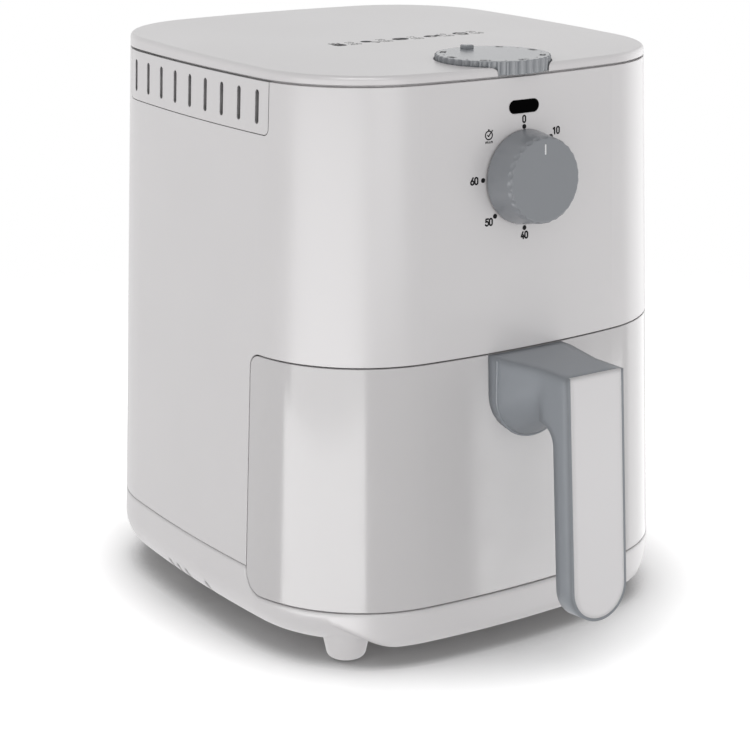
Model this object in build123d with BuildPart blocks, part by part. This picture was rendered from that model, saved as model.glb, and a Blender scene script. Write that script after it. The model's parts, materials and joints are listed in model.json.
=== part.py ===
"""Air fryer with a pull-out drawer: every piece a separate solid, in millimetres.

Origin on the table under the middle of the overall box. +Z is up, the drawer opens towards -Y.
"""

import os
from math import atan2, cos, degrees, radians, sin, tan

from build123d import *

# Overall body: drafted housing with bowed sides and large round corners
BODY_WIDTH = 247.0
BODY_DEPTH = 258.0
GRIP_REACH = 57.5  # from the body's front to the front of the grip
HOOD_REACH = 37.5  # from the body's rear to the end of the air outlet
WIDEST_Z = 30.2
SIDE_BOW = 8.3
FRONT_BOW = 13.5
CORNER_R = 72.0
DRAFT_ANGLE = 2.43  # degrees
WALL = 2.6
SEAM = 0.8  # open parting line between outer pieces
LID_SEAM = 1.2  # open line under the lid
TRAY_SEAM = 0.5  # open line over the tray
FIT = 0.3  # loose fit between neighbouring pieces
SNUG = 0.1  # close fit within one body
SHAFT_FIT = 0.05  # radial clearance on spindles and shafts

# Base tray and feet
TRAY_BOTTOM_Z = 10.2
TRAY_TOP_Z = 43.0
TRAY_EDGE_R = 18.0
LIP_W = 132.0  # level part of the front lip's lower edge
LIP_END_R = 45.0
LIP_END_RUN = 22.0
LIP_H = 19.0
LIP_DEPTH = 26.0
LIP_EDGE_R = 5.0
TONGUE_T = 1.5
TONGUE_H = 5.0
DECK_T = 2.2
FOOT_SIDE_GAP = 36.2  # from the body's side to a foot's middle
FOOT_END_GAP = 34.0  # from the body's front or rear to a foot's middle
FOOT_R = 9.4
FOOT_FLARE_ANGLE = 12.0  # degrees
FOOT_ROOT_Z = 20.2
FOOT_EDGE_R = 3.2
PAD_R = 5.0
PAD_T = 2.2
PAD_PROUD = 1.0
INTAKE_W = 2.4
INTAKE_TOP_Z = 21.2
INTAKE_REACH = 30.0
INTAKE_GROUP_Y = 14.3  # middle of the group of three, from the body's middle
INTAKE_PITCH = 8.8
INTAKE_LONE_Y = -15.7
POST_R = 6.0
POST_SIDE_GAP = 22.0  # from the pan's side to a post's middle
POST_FRONT_GAP = 6.9  # from the bulkhead to a post's middle
POST_REAR_GAP = 43.0  # from the bay's rear wall to a post's middle

# Top cover
LID_Z = 286.5
LID_REAR_Z = 293.7
LID_FRONT_Z = 291.0
LID_EDGE_R = 2.2
LID_SKIN = 2.4
LID_RIM = 6.0
SKIRT_T = 1.5
SKIRT_H = 6.0

# Side vent panels
VENT_Z = 260.4
VENT_FRONT_GAP = 63.0  # from the body's front to the panel
VENT_REAR_GAP = 55.0  # from the panel to the body's rear
VENT_CORNER_R = 3.5
VENT_SLOTS = 9
VENT_MARGIN = 9.2  # from a panel's end to the middle of its last slot
VENT_SLOT_W = 3.0
VENT_SLOT_H = 16.2
VENT_SLOT_Z = 273.4

# Drawer front
DRAWER_Z = 30.1
DRAWER_TOP_Z = 153.4
DRAWER_WRAP = 73.4  # from the body's front to the rear edge
DRAWER_LOW_R = 12.0
DRAWER_TOP_R = 7.0
DRAWER_WALL = 2.5

# Pan, grid and the bay they slide into
PAN_SIDE_GAP = 31.5  # from the body's side to the pan's wall
PAN_FRONT_GAP = 26.0  # from the body's front to the pan's wall
PAN_REAR_GAP = 44.0  # from the pan's wall to the body's rear
PAN_Z = 40.2
PAN_TOP_Z = 149.6
PAN_CORNER_R = 42.0
PAN_FLOOR_R = 10.0
PAN_DRAFT_ANGLE = 1.5  # degrees
PAN_SHEET = 1.5
PAN_RIM = 4.0
GRID_Z = 55.2
GRID_T = 2.0
GRID_GAP = 5.0
GRID_HOLE_R = 4.5
GRID_HOLES = 9
GRID_PITCH = 15.0
BUMPER_W = 14.0
BUMPER_EDGE_R = 3.0
SUPPORT_W = 64.0
SUPPORT_Z = 114.2
SUPPORT_H = 30.0
BAY_SHEET = 1.5
BAY_GAP = 2.0
BAY_Z = 33.7
BULKHEAD_SETBACK = 2.0
BULKHEAD_T = 1.6
BULKHEAD_INSET = 3.0
RAIL_X = 60.0
RAIL_W = 8.0

# Heating chamber
LEDGE_T = 1.8
CHAMBER_SHEET = 1.0
CHAMBER_GAP = 2.0
CHAMBER_FLANGE = 5.0
CHAMBER_LIP = 6.0
CHAMBER_TOP_Z = 210.2
GUARD_T = 1.2
GUARD_HOLES = 9
GUARD_HOLE_W = 13.0
GUARD_PITCH = 17.0
ELEMENT_Z = 171.2
ELEMENT_R = 3.2
ELEMENT_OUTER_R = 76.0
ELEMENT_INNER_R = 62.0
ELEMENT_BEND_R = 9.0
ELEMENT_START_ANGLE = 100.0  # where the two legs rise
ELEMENT_SWEEP_ANGLE = 318.0
ELEMENT_TOP_Z = 221.2
BUSHING_R = 5.5
BUSHING_H = 5.0
CLIP_COUNT = 3
CLIP_START_ANGLE = 145.0
CLIP_W = 10.0
CLIP_SHEET = 1.6
CLIP_SPAN = 26.0

# Motor and fans
MOTOR_R = 30.0
MOTOR_H = 28.0
MOTOR_EDGE_R = 3.0
BRACKET_SHEET = 1.6
BRACKET_H = 15.0
BRACKET_LENGTH = 116.0
BRACKET_W = 44.0
BRACKET_FOOT = 14.0
SHAFT_R = 3.0
SHAFT_HOLE_R = 6.0
SHAFT_LOW_Z = 179.2
SHAFT_TOP_Z = 270.2
HOT_FAN_R = 50.0
HOT_FAN_Z = 184.2
HOT_FAN_H = 16.0
COOL_FAN_R = 42.0
COOL_FAN_Z = 258.2
COOL_FAN_H = 10.0
FAN_SHEET = 1.2
HUB_R = 9.0
BLADES = 10
BLADE_ANGLE = 25.0
NUT_R = 6.0
NUT_H = 4.5
SCREW_R = 1.7
SCREW_HEAD_R = 3.4
SCREW_HEAD_H = 2.2
MOTOR_SCREW_X = 18.0
MOTOR_SCREW_GRIP = 6.0

# Timer on the front wall
TIMER_Z = 237.9
KNOB_BASE_R = 23.0
KNOB_FACE_R = 20.6
KNOB_REACH = 15.6
KNOB_GAP = 0.6
KNOB_EDGE_R = 1.1
KNOB_SCALLOPS = 28
KNOB_SCALLOP_R = 4.0
KNOB_SCALLOP_BITE = 0.6
SPINDLE_R = 3.0
SPINDLE_HOLE_R = 4.5
SPINDLE_GRIP = 9.0  # length of a spindle inside its knob
TIMER_STANDOFF = 2.1
TIMER_PLATE_T = 1.5
TIMER_PLATE_W = 62.0
TIMER_BOX_W = 44.0
TIMER_BOX_D = 26.0
TIMER_BOSS_R = 4.0
TIMER_SCREW_X = 26.0
BELL_R = 17.0
BELL_H = 8.0

# Temperature dial on the lid
DIAL_FRONT_GAP = 35.5  # from the body's front to the dial's middle
DIAL_R = 28.2
DIAL_TOP_Z = 294.0
DIAL_GAP = 0.5
DIAL_EDGE_R = 0.8
DIAL_FLUTES = 40
DIAL_FLUTE_R = 1.9
DIAL_FLUTE_BITE = 1.2
TAB_W = 4.8
TAB_D = 4.6
TAB_TOP_Z = 296.0
TAB_PLACE_R = 20.8
TAB_EDGE_R = 0.6
DIAL_BORE = 5.0
THERMOSTAT_R = 13.0
THERMOSTAT_H = 18.0
THERMOSTAT_PLATE_W = 78.0
THERMOSTAT_PLATE_D = 30.0
THERMOSTAT_PLATE_T = 1.5
THERMOSTAT_DROP = 2.6  # from the dial's underside to the plate
THERMOSTAT_POST_X = 34.0
THERMOSTAT_POST_R = 3.5
CAPILLARY_R = 1.2
CAPILLARY_X = 42.0
CAPILLARY_BEND_R = 8.0
BULB_R = 2.6
BULB_TOP_Z = 206.2
BULB_LENGTH = 24.0

# Indicator window
LENS_W = 17.8
LENS_H = 6.3
LENS_Z = 271.8
LENS_PROUD = 0.4
LENS_DEPTH = 4.6
LAMP_W = 13.0
LAMP_H = 5.0
LAMP_DEPTH = 5.0

# Handle
HANDLE_TOP_Z = 153.0
HANDLE_LOW_Z = 30.6
GRIP_LEAN_ANGLE = 4.17  # degrees
GRIP_W = 34.0
GRIP_T = 12.0
COVER_W = 31.0
COVER_T = 1.9
COVER_PROUD = 0.5
COVER_EDGE_R = 0.7
COLLAR_W = 45.4
COLLAR_LOW_Z = 110.7
COLLAR_DEPTH = 7.0
NECK_LOW_Z = 127.2
ARCH_R = 11.0
HANDLE_SCREW_R = 2.0
HANDLE_SCREW_HEAD_R = 4.0
HANDLE_SCREW_HEAD_H = 2.6
HANDLE_SCREW_LENGTH = 14.0
HANDLE_SCREW_Z = 128.2  # middle of the two screws
HANDLE_SCREW_PITCH = 16.0

# Air outlet at the rear, cord gland and small electrical parts
HOOD_W = 124.0
HOOD_H = 84.0
HOOD_Z = 202.2
HOOD_WALL = 2.5
HOOD_EDGE_R = 9.0
HOOD_LOUVRES = 6
HOOD_LOUVRE_W = 96.0
HOOD_LOUVRE_H = 5.0
HOOD_LOUVRE_PITCH = 11.0
DUCT_W = 92.0
DUCT_H = 36.0
DUCT_Z = 186.2
DUCT_SHEET = 1.2
GLAND_Z = 74.2
GLAND_R = 10.0
GLAND_T = 3.0
GLAND_NECK_R = 7.0
GLAND_NECK_L = 8.0
GLAND_BORE_R = 3.6
TERMINAL_W = 34.0
TERMINAL_D = 16.0
TERMINAL_H = 14.0
TERMINAL_SIDE_GAP = 30.0  # from the pan's side to the block's middle
TERMINAL_Y = 42.0
TERMINAL_WAYS = 3
FUSE_R = 3.0
FUSE_L = 16.0
FUSE_X = 62.0
FUSE_Y = 40.0
SWITCH_SIDE_GAP = 18.9  # from the body's side to the switch's middle
SWITCH_RIB_W = 7.0
SWITCH_RIB_H = 10.0
SWITCH_RIB_D = 8.0
SWITCH_Z = 102.2
SWITCH_W = 8.0
SWITCH_D = 20.0
SWITCH_H = 26.0
PLUNGER_W = 3.0
PLUNGER_H = 6.0
PLUNGER_IN = 4.0
PLUNGER_PLAY = 1.0

# Places that follow from the sizes above
SLOPE = tan(radians(DRAFT_ANGLE))
OVERALL_DEPTH = GRIP_REACH + BODY_DEPTH + HOOD_REACH
BODY_Y = (GRIP_REACH - HOOD_REACH) / 2
BODY_FRONT_Y = BODY_Y - BODY_DEPTH / 2
REAR_Y = OVERALL_DEPTH / 2
FOOT_X = BODY_WIDTH / 2 - FOOT_SIDE_GAP
FOOT_Y = BODY_DEPTH / 2 - FOOT_END_GAP
VENT_FRONT_Y = BODY_FRONT_Y + VENT_FRONT_GAP
VENT_LENGTH = BODY_DEPTH - VENT_FRONT_GAP - VENT_REAR_GAP
VENT_PITCH = (VENT_LENGTH - 2 * VENT_MARGIN) / (VENT_SLOTS - 1)
SWITCH_X = BODY_WIDTH / 2 - SWITCH_SIDE_GAP
HALF_SEAM = SEAM / 2
TRAY_RIM_Z = TRAY_TOP_Z - TRAY_SEAM / 2
SHELL_Z = TRAY_TOP_Z + TRAY_SEAM / 2
SHELL_TOP_Z = LID_Z - LID_SEAM / 2
LID_LOW_Z = LID_Z + LID_SEAM / 2
DECK_Z = DRAWER_Z - HALF_SEAM
DRAWER_EDGE = BODY_FRONT_Y + DRAWER_WRAP
BULKHEAD_Y = DRAWER_EDGE + BULKHEAD_SETBACK
BULKHEAD_BACK_Y = BULKHEAD_Y + BULKHEAD_T
LEDGE_Z = DRAWER_TOP_Z + HALF_SEAM
BAY_TOP_Z = LEDGE_Z + LEDGE_T
PAN_WIDTH = BODY_WIDTH - 2 * PAN_SIDE_GAP
PAN_DEPTH = BODY_DEPTH - PAN_FRONT_GAP - PAN_REAR_GAP
PAN_Y = BODY_FRONT_Y + PAN_FRONT_GAP + PAN_DEPTH / 2
PAN_BACK_Y = PAN_Y + PAN_DEPTH / 2
BAY_HALF_W = PAN_WIDTH / 2 + PAN_RIM + BAY_GAP
BAY_BACK_Y = PAN_BACK_Y + PAN_RIM + BAY_GAP
BAY_FLOOR_Z = BAY_Z + BAY_SHEET
CHAMBER_ROOF_Z = CHAMBER_TOP_Z - CHAMBER_SHEET
CHAMBER_BACK_Y = PAN_BACK_Y + CHAMBER_GAP + CHAMBER_SHEET
GUARD_Z = BAY_TOP_Z + CHAMBER_SHEET
MOTOR_Z = CHAMBER_TOP_Z + BRACKET_H
DIAL_CENTRE_Y = BODY_FRONT_Y + DIAL_FRONT_GAP
DIAL_LOW_Z = LID_LOW_Z + FIT
THERMOSTAT_PLATE_Z = DIAL_LOW_Z - THERMOSTAT_DROP - THERMOSTAT_PLATE_T
THERMOSTAT_Z = THERMOSTAT_PLATE_Z - THERMOSTAT_H
LID_LEAN_ANGLE = degrees(atan2(LID_REAR_Z - LID_FRONT_Z, BODY_DEPTH))
LID_DIAL_Z = LID_FRONT_Z + DIAL_FRONT_GAP * (LID_REAR_Z - LID_FRONT_Z) / BODY_DEPTH
TERMINAL_X = TERMINAL_SIDE_GAP - PAN_WIDTH / 2


def front_y(z):
    """Middle of the body's front face at height z."""
    return BODY_FRONT_Y + (z - WIDEST_Z) * SLOPE


def rear_y(z):
    """Middle of the body's rear face at height z."""
    return BODY_Y + BODY_DEPTH / 2 - (z - WIDEST_Z) * SLOPE


def level(z, y=BODY_Y):
    """Level plane at height z, centred on the body unless another place is given."""
    return Plane((0, y, z))


def facing_front(y, z=0.0):
    """Upright plane that looks towards the user, its own up direction along +Z."""
    return Plane(origin=(0, y, z), x_dir=(1, 0, 0), z_dir=(0, -1, 0))


def facing_rear(y, z, lean=0.0):
    """Upright plane that looks towards the back, leaned upwards by an angle."""
    normal = (0, cos(radians(lean)), sin(radians(lean)))
    return Plane(origin=(0, y, z), x_dir=(-1, 0, 0), z_dir=normal)


def front_wall(z, depth=0.0):
    """Plane on the front wall at height z, square to the leaning wall, moved in by a depth."""
    normal = (0, -cos(radians(DRAFT_ANGLE)), sin(radians(DRAFT_ANGLE)))
    return Plane(origin=(0, front_y(z), z), x_dir=(1, 0, 0), z_dir=normal).offset(-depth)


def body_outline():
    """Arcs of the body's plan at table height: four bowed sides and four round corners."""
    side = BODY_WIDTH / 2 + WIDEST_Z * SLOPE
    front = BODY_DEPTH / 2 + WIDEST_Z * SLOPE
    corner_x = side - SIDE_BOW
    corner_y = front - FRONT_BOW
    with BuildSketch() as plan:
        with BuildLine():
            ThreePointArc((-corner_x, -corner_y), (0, -front), (corner_x, -corner_y))
            ThreePointArc((corner_x, -corner_y), (side, 0), (corner_x, corner_y))
            ThreePointArc((corner_x, corner_y), (0, front), (-corner_x, corner_y))
            ThreePointArc((-corner_x, corner_y), (-side, 0), (-corner_x, -corner_y))
        make_face()
        fillet(plan.vertices(), CORNER_R)
    return plan.sketch.edges()


OUTLINE = body_outline()


def body_plan(z, wall=0.0):
    """Plan of the body at height z: each arc keeps its centre and loses draft and wall."""
    inset = z * SLOPE + wall
    with BuildSketch(level(z)) as plan:
        with BuildLine():
            for arc in OUTLINE:
                middle = arc.arc_center
                scale = 1 - inset / arc.radius
                ThreePointArc(*[middle + (arc @ place - middle) * scale for place in (0, 0.5, 1)])
        make_face()
    return plan.sketch


def body_block(low, high, wall=0.0):
    """Full drafted volume of the body between two heights, inside a wall thickness."""
    with BuildPart() as block:
        extrude(body_plan(low, wall), amount=high - low, taper=DRAFT_ANGLE)
    return block.part


def rounded_block(low, high, edge_r, wall=0.0):
    """Drafted volume of the body with a round lower edge, inside a wall thickness."""
    with BuildPart() as block:
        add(body_block(low, high, wall))
        fillet(block.faces().sort_by(Axis.Z)[0].edges(), edge_r)
    return block.part


def front_slab(low, high, rear, wall):
    """Level slab between two heights that fills the body's plan in front of a line."""
    with BuildPart() as slab:
        add(body_block(low, high, wall))
        with BuildSketch(level(low, rear - OVERALL_DEPTH / 2)):
            Rectangle(2 * BODY_WIDTH, OVERALL_DEPTH)
        extrude(amount=high - low, mode=Mode.INTERSECT)
    return slab.part


def drawer_zone(grow):
    """Space of the drawer front seen from the side, run through the whole width."""
    front = -OVERALL_DEPTH
    edge = DRAWER_EDGE + grow
    with BuildPart() as zone:
        with BuildSketch(Plane.YZ) as profile:
            with BuildLine():
                Polyline(
                    (front, DRAWER_Z - grow),
                    (edge, DRAWER_Z - grow),
                    (edge, DRAWER_TOP_Z + grow),
                    (front, DRAWER_TOP_Z + grow),
                    close=True,
                )
            make_face()
            rear_corners = profile.vertices().group_by(Axis.X)[-1].sort_by(Axis.Y)
            fillet(rear_corners[0], DRAWER_LOW_R + grow)
            fillet(profile.vertices().group_by(Axis.X)[-1].sort_by(Axis.Y)[-1], DRAWER_TOP_R + grow)
        extrude(amount=BODY_WIDTH, both=True)
    return zone.part


def vent_zone(grow):
    """Space of the right vent panel seen from the side, run out through that side."""
    front = VENT_FRONT_Y - grow
    rear = VENT_FRONT_Y + VENT_LENGTH + grow
    with BuildPart() as zone:
        with BuildSketch(Plane.YZ) as profile:
            with BuildLine():
                Polyline(
                    (front, VENT_Z - grow),
                    (rear, VENT_Z - grow),
                    (rear, LID_LOW_Z),
                    (front, LID_LOW_Z),
                    close=True,
                )
            make_face()
            fillet(profile.vertices().group_by(Axis.Y)[0], VENT_CORNER_R + grow)
        extrude(amount=BODY_WIDTH)
    return zone.part


def pan_block(low, high, grow=0.0):
    """Volume of the pan between two heights, widening with its draft, moved out by grow."""
    spread = grow - (PAN_TOP_Z - low) * tan(radians(PAN_DRAFT_ANGLE))
    with BuildPart() as block:
        with BuildSketch(level(low, PAN_Y)):
            RectangleRounded(PAN_WIDTH + 2 * spread, PAN_DEPTH + 2 * spread, PAN_CORNER_R + spread)
        extrude(amount=high - low, taper=-PAN_DRAFT_ANGLE)
    return block.part


def square_block(low, high, grow):
    """Upright volume over the pan's top outline between two heights, moved out by grow."""
    with BuildPart() as block:
        with BuildSketch(level(low, PAN_Y)):
            RectangleRounded(PAN_WIDTH + 2 * grow, PAN_DEPTH + 2 * grow, PAN_CORNER_R + grow)
        extrude(amount=high - low)
    return block.part


def drop_shape(plane, width, tip, top):
    """Upright strip on a plane with a half-round lower end, from its tip up to a level top."""
    radius = width / 2
    with BuildSketch(plane) as shape:
        with BuildLine():
            Line((-radius, tip + radius), (-radius, top))
            Line((-radius, top), (radius, top))
            Line((radius, top), (radius, tip + radius))
            ThreePointArc((radius, tip + radius), (0, tip), (-radius, tip + radius))
        make_face()
    return shape.sketch


def screw_group(plane, places, shank_r, head_r, head_h, length):
    """Round-headed screws, heads on a plane and shanks along its normal."""
    with BuildPart() as group:
        with BuildSketch(plane):
            with Locations(*places):
                Circle(head_r)
        extrude(amount=-head_h)
        with BuildSketch(plane):
            with Locations(*places):
                Circle(shank_r)
        extrude(amount=length)
    return group


def radial_fan(z, radius, height):
    """Fan wheel with slanted radial blades under a round plate, bored for the shaft."""
    blade_length = radius - HUB_R
    blade_middle = HUB_R + blade_length / 2
    with BuildPart() as fan:
        with BuildSketch(level(z, PAN_Y)):
            with PolarLocations(blade_middle, BLADES):
                Rectangle(blade_length, FAN_SHEET, rotation=BLADE_ANGLE)
            Circle(HUB_R)
        extrude(amount=height)
        with BuildSketch(level(z + height, PAN_Y)):
            Circle(radius)
        extrude(amount=FAN_SHEET)
        with BuildSketch(level(z, PAN_Y)):
            Circle(SHAFT_R + SHAFT_FIT)
        extrude(amount=height + FAN_SHEET, mode=Mode.SUBTRACT)
    return fan


def front_lip():
    """Front of the tray with a tighter lower edge, its ends swept up into the round edge."""
    half = LIP_W / 2
    rise = LIP_END_R - (LIP_END_R**2 - LIP_END_RUN**2) ** 0.5
    turn = half + LIP_END_RUN
    end = turn + (LIP_H - rise) * (LIP_END_R - rise) / LIP_END_RUN
    with BuildPart() as lip:
        add(rounded_block(TRAY_BOTTOM_Z, TRAY_RIM_Z, LIP_EDGE_R, SNUG))
        with BuildSketch(facing_front(BODY_FRONT_Y + LIP_DEPTH, TRAY_BOTTOM_Z)):
            with BuildLine():
                Line((-half, 0), (half, 0))
                RadiusArc((half, 0), (turn, rise), -LIP_END_R)
                Polyline((turn, rise), (end, LIP_H), (-end, LIP_H), (-turn, rise))
                RadiusArc((-turn, rise), (-half, 0), -LIP_END_R)
            make_face()
        extrude(amount=2 * LIP_DEPTH, mode=Mode.INTERSECT)
    return lip.part


def lid_block(wall, drop):
    """Lid volume inside a wall thickness, its top leaning forward and moved down by a drop."""
    lean = radians(LID_LEAN_ANGLE)
    rear = (0, BODY_Y + BODY_DEPTH / 2, LID_REAR_Z)
    top = Plane(origin=rear, x_dir=(1, 0, 0), z_dir=(0, -sin(lean), cos(lean)))
    with BuildPart() as block:
        add(body_block(LID_LOW_Z, LID_REAR_Z + LID_SKIN, wall))
        split(bisect_by=top.offset(-drop), keep=Keep.BOTTOM)
    return block.part


def lid_skirt():
    """Ring under the cover that locates it inside the shell's upper edge."""
    with BuildPart() as skirt:
        add(body_block(LID_LOW_Z - SKIRT_H, LID_LOW_Z, WALL + FIT))
        add(body_block(LID_LOW_Z - SKIRT_H, LID_LOW_Z, WALL + FIT + SKIRT_T), mode=Mode.SUBTRACT)
    return skirt.part


def switch_rib():
    """Rib inside the drawer front's right side that presses the drawer switch."""
    inner_x = SWITCH_X - SWITCH_RIB_W / 2
    width = BODY_WIDTH / 2 - inner_x
    with BuildPart() as rib:
        with BuildSketch(level(SWITCH_Z - SWITCH_RIB_H / 2, DRAWER_EDGE - SWITCH_RIB_D / 2)):
            with Locations((inner_x + width / 2, 0)):
                Rectangle(width, SWITCH_RIB_D)
        extrude(amount=SWITCH_RIB_H)
        add(body_block(DRAWER_Z, DRAWER_TOP_Z, DRAWER_WALL / 2), mode=Mode.INTERSECT)
    return rib.part


def bulkhead():
    """Upright sheet across the body behind the drawer front, cut away for the pan."""
    with BuildPart() as sheet:
        add(body_block(DECK_Z, LEDGE_Z, WALL + BULKHEAD_INSET))
        with BuildSketch(level(DECK_Z, BULKHEAD_Y + BULKHEAD_T / 2)):
            Rectangle(2 * BODY_WIDTH, BULKHEAD_T)
        extrude(amount=LEDGE_Z - DECK_Z, mode=Mode.INTERSECT)
        with BuildSketch(level(BAY_FLOOR_Z, BULKHEAD_Y)):
            Rectangle(2 * BAY_HALF_W, 4 * BULKHEAD_T)
        extrude(amount=LEDGE_Z - BAY_FLOOR_Z, mode=Mode.SUBTRACT)
        with BuildSketch(facing_front(BULKHEAD_BACK_Y, SWITCH_Z)):
            with Locations((SWITCH_X, 0)):
                Rectangle(PLUNGER_W + 2 * FIT, PLUNGER_H + 2 * FIT)
        extrude(amount=BULKHEAD_T, mode=Mode.SUBTRACT)
    return sheet.part


os.makedirs("parts", exist_ok=True)

# Base tray: round lower edge, tongue for the shell, deck under the drawer, feet and posts
feet = [(x, y) for x in (-FOOT_X, FOOT_X) for y in (-FOOT_Y, FOOT_Y)]
post_x = PAN_WIDTH / 2 - POST_SIDE_GAP
post_ys = [BULKHEAD_BACK_Y + POST_FRONT_GAP - BODY_Y, BAY_BACK_Y - POST_REAR_GAP - BODY_Y]
posts = [(x, y) for x in (-post_x, post_x) for y in post_ys]
intakes = [INTAKE_GROUP_Y + step * INTAKE_PITCH for step in (-1, 0, 1)] + [INTAKE_LONE_Y]
tray_floor_z = TRAY_BOTTOM_Z + WALL
tongue_low_z = TRAY_RIM_Z - TONGUE_H
tongue_top_z = TRAY_RIM_Z + TONGUE_H
with BuildPart() as base_tray:
    add(rounded_block(TRAY_BOTTOM_Z, TRAY_RIM_Z, TRAY_EDGE_R))
    add(front_lip())
    add(body_block(TRAY_RIM_Z, tongue_top_z, WALL + FIT))
    add(rounded_block(tray_floor_z, tongue_low_z, TRAY_EDGE_R - WALL, WALL), mode=Mode.SUBTRACT)
    add(body_block(tongue_low_z, tongue_top_z, WALL + FIT + TONGUE_T), mode=Mode.SUBTRACT)
    add(front_slab(DECK_Z - DECK_T, DECK_Z, BULKHEAD_BACK_Y, WALL / 2))
    add(drawer_zone(HALF_SEAM), mode=Mode.SUBTRACT)
    with BuildSketch(level(PAD_PROUD)):
        with Locations(*feet):
            Circle(FOOT_R)
    extrude(amount=FOOT_ROOT_Z - PAD_PROUD, taper=-FOOT_FLARE_ANGLE)
    fillet(base_tray.edges().group_by(Axis.Z)[0], FOOT_EDGE_R)
    with BuildSketch(level(PAD_PROUD)):
        with Locations(*feet):
            Circle(PAD_R + SNUG)
    extrude(amount=PAD_T - PAD_PROUD, mode=Mode.SUBTRACT)
    with BuildSketch(level(tray_floor_z)):
        with Locations(*posts):
            Circle(POST_R)
    extrude(amount=BAY_Z - tray_floor_z)
    with BuildSketch(level(TRAY_BOTTOM_Z)):
        with Locations(*posts):
            Circle(SCREW_R + SNUG)
    extrude(amount=BAY_Z - TRAY_BOTTOM_Z, mode=Mode.SUBTRACT)
    with BuildSketch(level(TRAY_BOTTOM_Z)):
        with Locations(*posts):
            Circle(SCREW_HEAD_R + FIT)
    extrude(amount=SCREW_HEAD_H, mode=Mode.SUBTRACT)
    with BuildSketch(level(0)):
        with Locations(*[(side * BODY_WIDTH / 2, y) for side in (-1, 1) for y in intakes]):
            Rectangle(2 * INTAKE_REACH, INTAKE_W)
    extrude(amount=INTAKE_TOP_Z, mode=Mode.SUBTRACT)

with BuildPart() as foot_pads:
    with BuildSketch(level(0)):
        with Locations(*feet):
            Circle(PAD_R)
    extrude(amount=PAD_T)

base_screws = screw_group(
    level(TRAY_BOTTOM_Z + SCREW_HEAD_H),
    posts,
    SCREW_R,
    SCREW_HEAD_R,
    SCREW_HEAD_H,
    BAY_FLOOR_Z - TRAY_BOTTOM_Z - SCREW_HEAD_H,
)

# Outer shell: drafted sleeve with the drawer opening, a ledge over it and all wall holes
timer_plate_in = WALL + TIMER_STANDOFF
timer_back_in = timer_plate_in + TIMER_PLATE_T
gland_y = rear_y(GLAND_Z) + SNUG
duct_hole_w = DUCT_W - 2 * DUCT_SHEET
duct_hole_h = DUCT_H - 2 * DUCT_SHEET
timer_screws_at = [(-TIMER_SCREW_X, 0), (TIMER_SCREW_X, 0)]
with BuildPart() as vent_cut_left:
    mirror(vent_zone(0), about=Plane.YZ, mode=Mode.ADD)
with BuildPart() as outer_shell:
    add(body_block(SHELL_Z, SHELL_TOP_Z))
    add(body_block(SHELL_Z, SHELL_TOP_Z, WALL), mode=Mode.SUBTRACT)
    add(front_slab(LEDGE_Z, BAY_TOP_Z, BULKHEAD_Y, WALL / 2))
    add(square_block(LEDGE_Z, BAY_TOP_Z, PAN_RIM + BAY_GAP), mode=Mode.SUBTRACT)
    add(drawer_zone(HALF_SEAM), mode=Mode.SUBTRACT)
    add(vent_zone(0), mode=Mode.SUBTRACT)
    add(vent_cut_left.part, mode=Mode.SUBTRACT)
    with BuildSketch(front_wall(TIMER_Z, timer_plate_in)):
        with Locations(*timer_screws_at):
            Circle(TIMER_BOSS_R)
    extrude(amount=TIMER_STANDOFF + WALL / 2)
    with BuildSketch(front_wall(TIMER_Z, timer_plate_in)):
        with Locations(*timer_screws_at):
            Circle(SCREW_R + SNUG)
    extrude(amount=TIMER_STANDOFF + WALL / 2, mode=Mode.SUBTRACT)
    with BuildSketch(front_wall(TIMER_Z, timer_plate_in)):
        Circle(SPINDLE_HOLE_R)
    extrude(amount=TIMER_STANDOFF + 2 * WALL, mode=Mode.SUBTRACT)
    with BuildSketch(front_wall(LENS_Z)):
        SlotOverall(LENS_W + 2 * SNUG, LENS_H + 2 * SNUG)
    extrude(amount=2 * WALL, both=True, mode=Mode.SUBTRACT)
    with BuildSketch(facing_rear(rear_y(DUCT_Z) - 2 * WALL, DUCT_Z)):
        Rectangle(duct_hole_w, duct_hole_h)
    extrude(amount=4 * WALL, mode=Mode.SUBTRACT)
    with BuildSketch(facing_rear(gland_y, GLAND_Z, DRAFT_ANGLE)):
        Circle(GLAND_NECK_R + SNUG)
    extrude(amount=-GLAND_NECK_L, mode=Mode.SUBTRACT)

# Side vent panels, flush with the shell
with BuildPart() as vent_panel_right:
    add(body_block(VENT_Z, SHELL_TOP_Z))
    add(body_block(VENT_Z, SHELL_TOP_Z, WALL), mode=Mode.SUBTRACT)
    add(vent_zone(-HALF_SEAM), mode=Mode.INTERSECT)
    with BuildSketch(Plane.YZ):
        with Locations((VENT_FRONT_Y + VENT_LENGTH / 2, VENT_SLOT_Z)):
            with GridLocations(VENT_PITCH, VENT_SLOT_H, VENT_SLOTS, 1):
                SlotOverall(VENT_SLOT_H, VENT_SLOT_W, rotation=90)
    extrude(amount=BODY_WIDTH, mode=Mode.SUBTRACT)
with BuildPart() as vent_panel_left:
    mirror(vent_panel_right.part, about=Plane.YZ)

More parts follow.
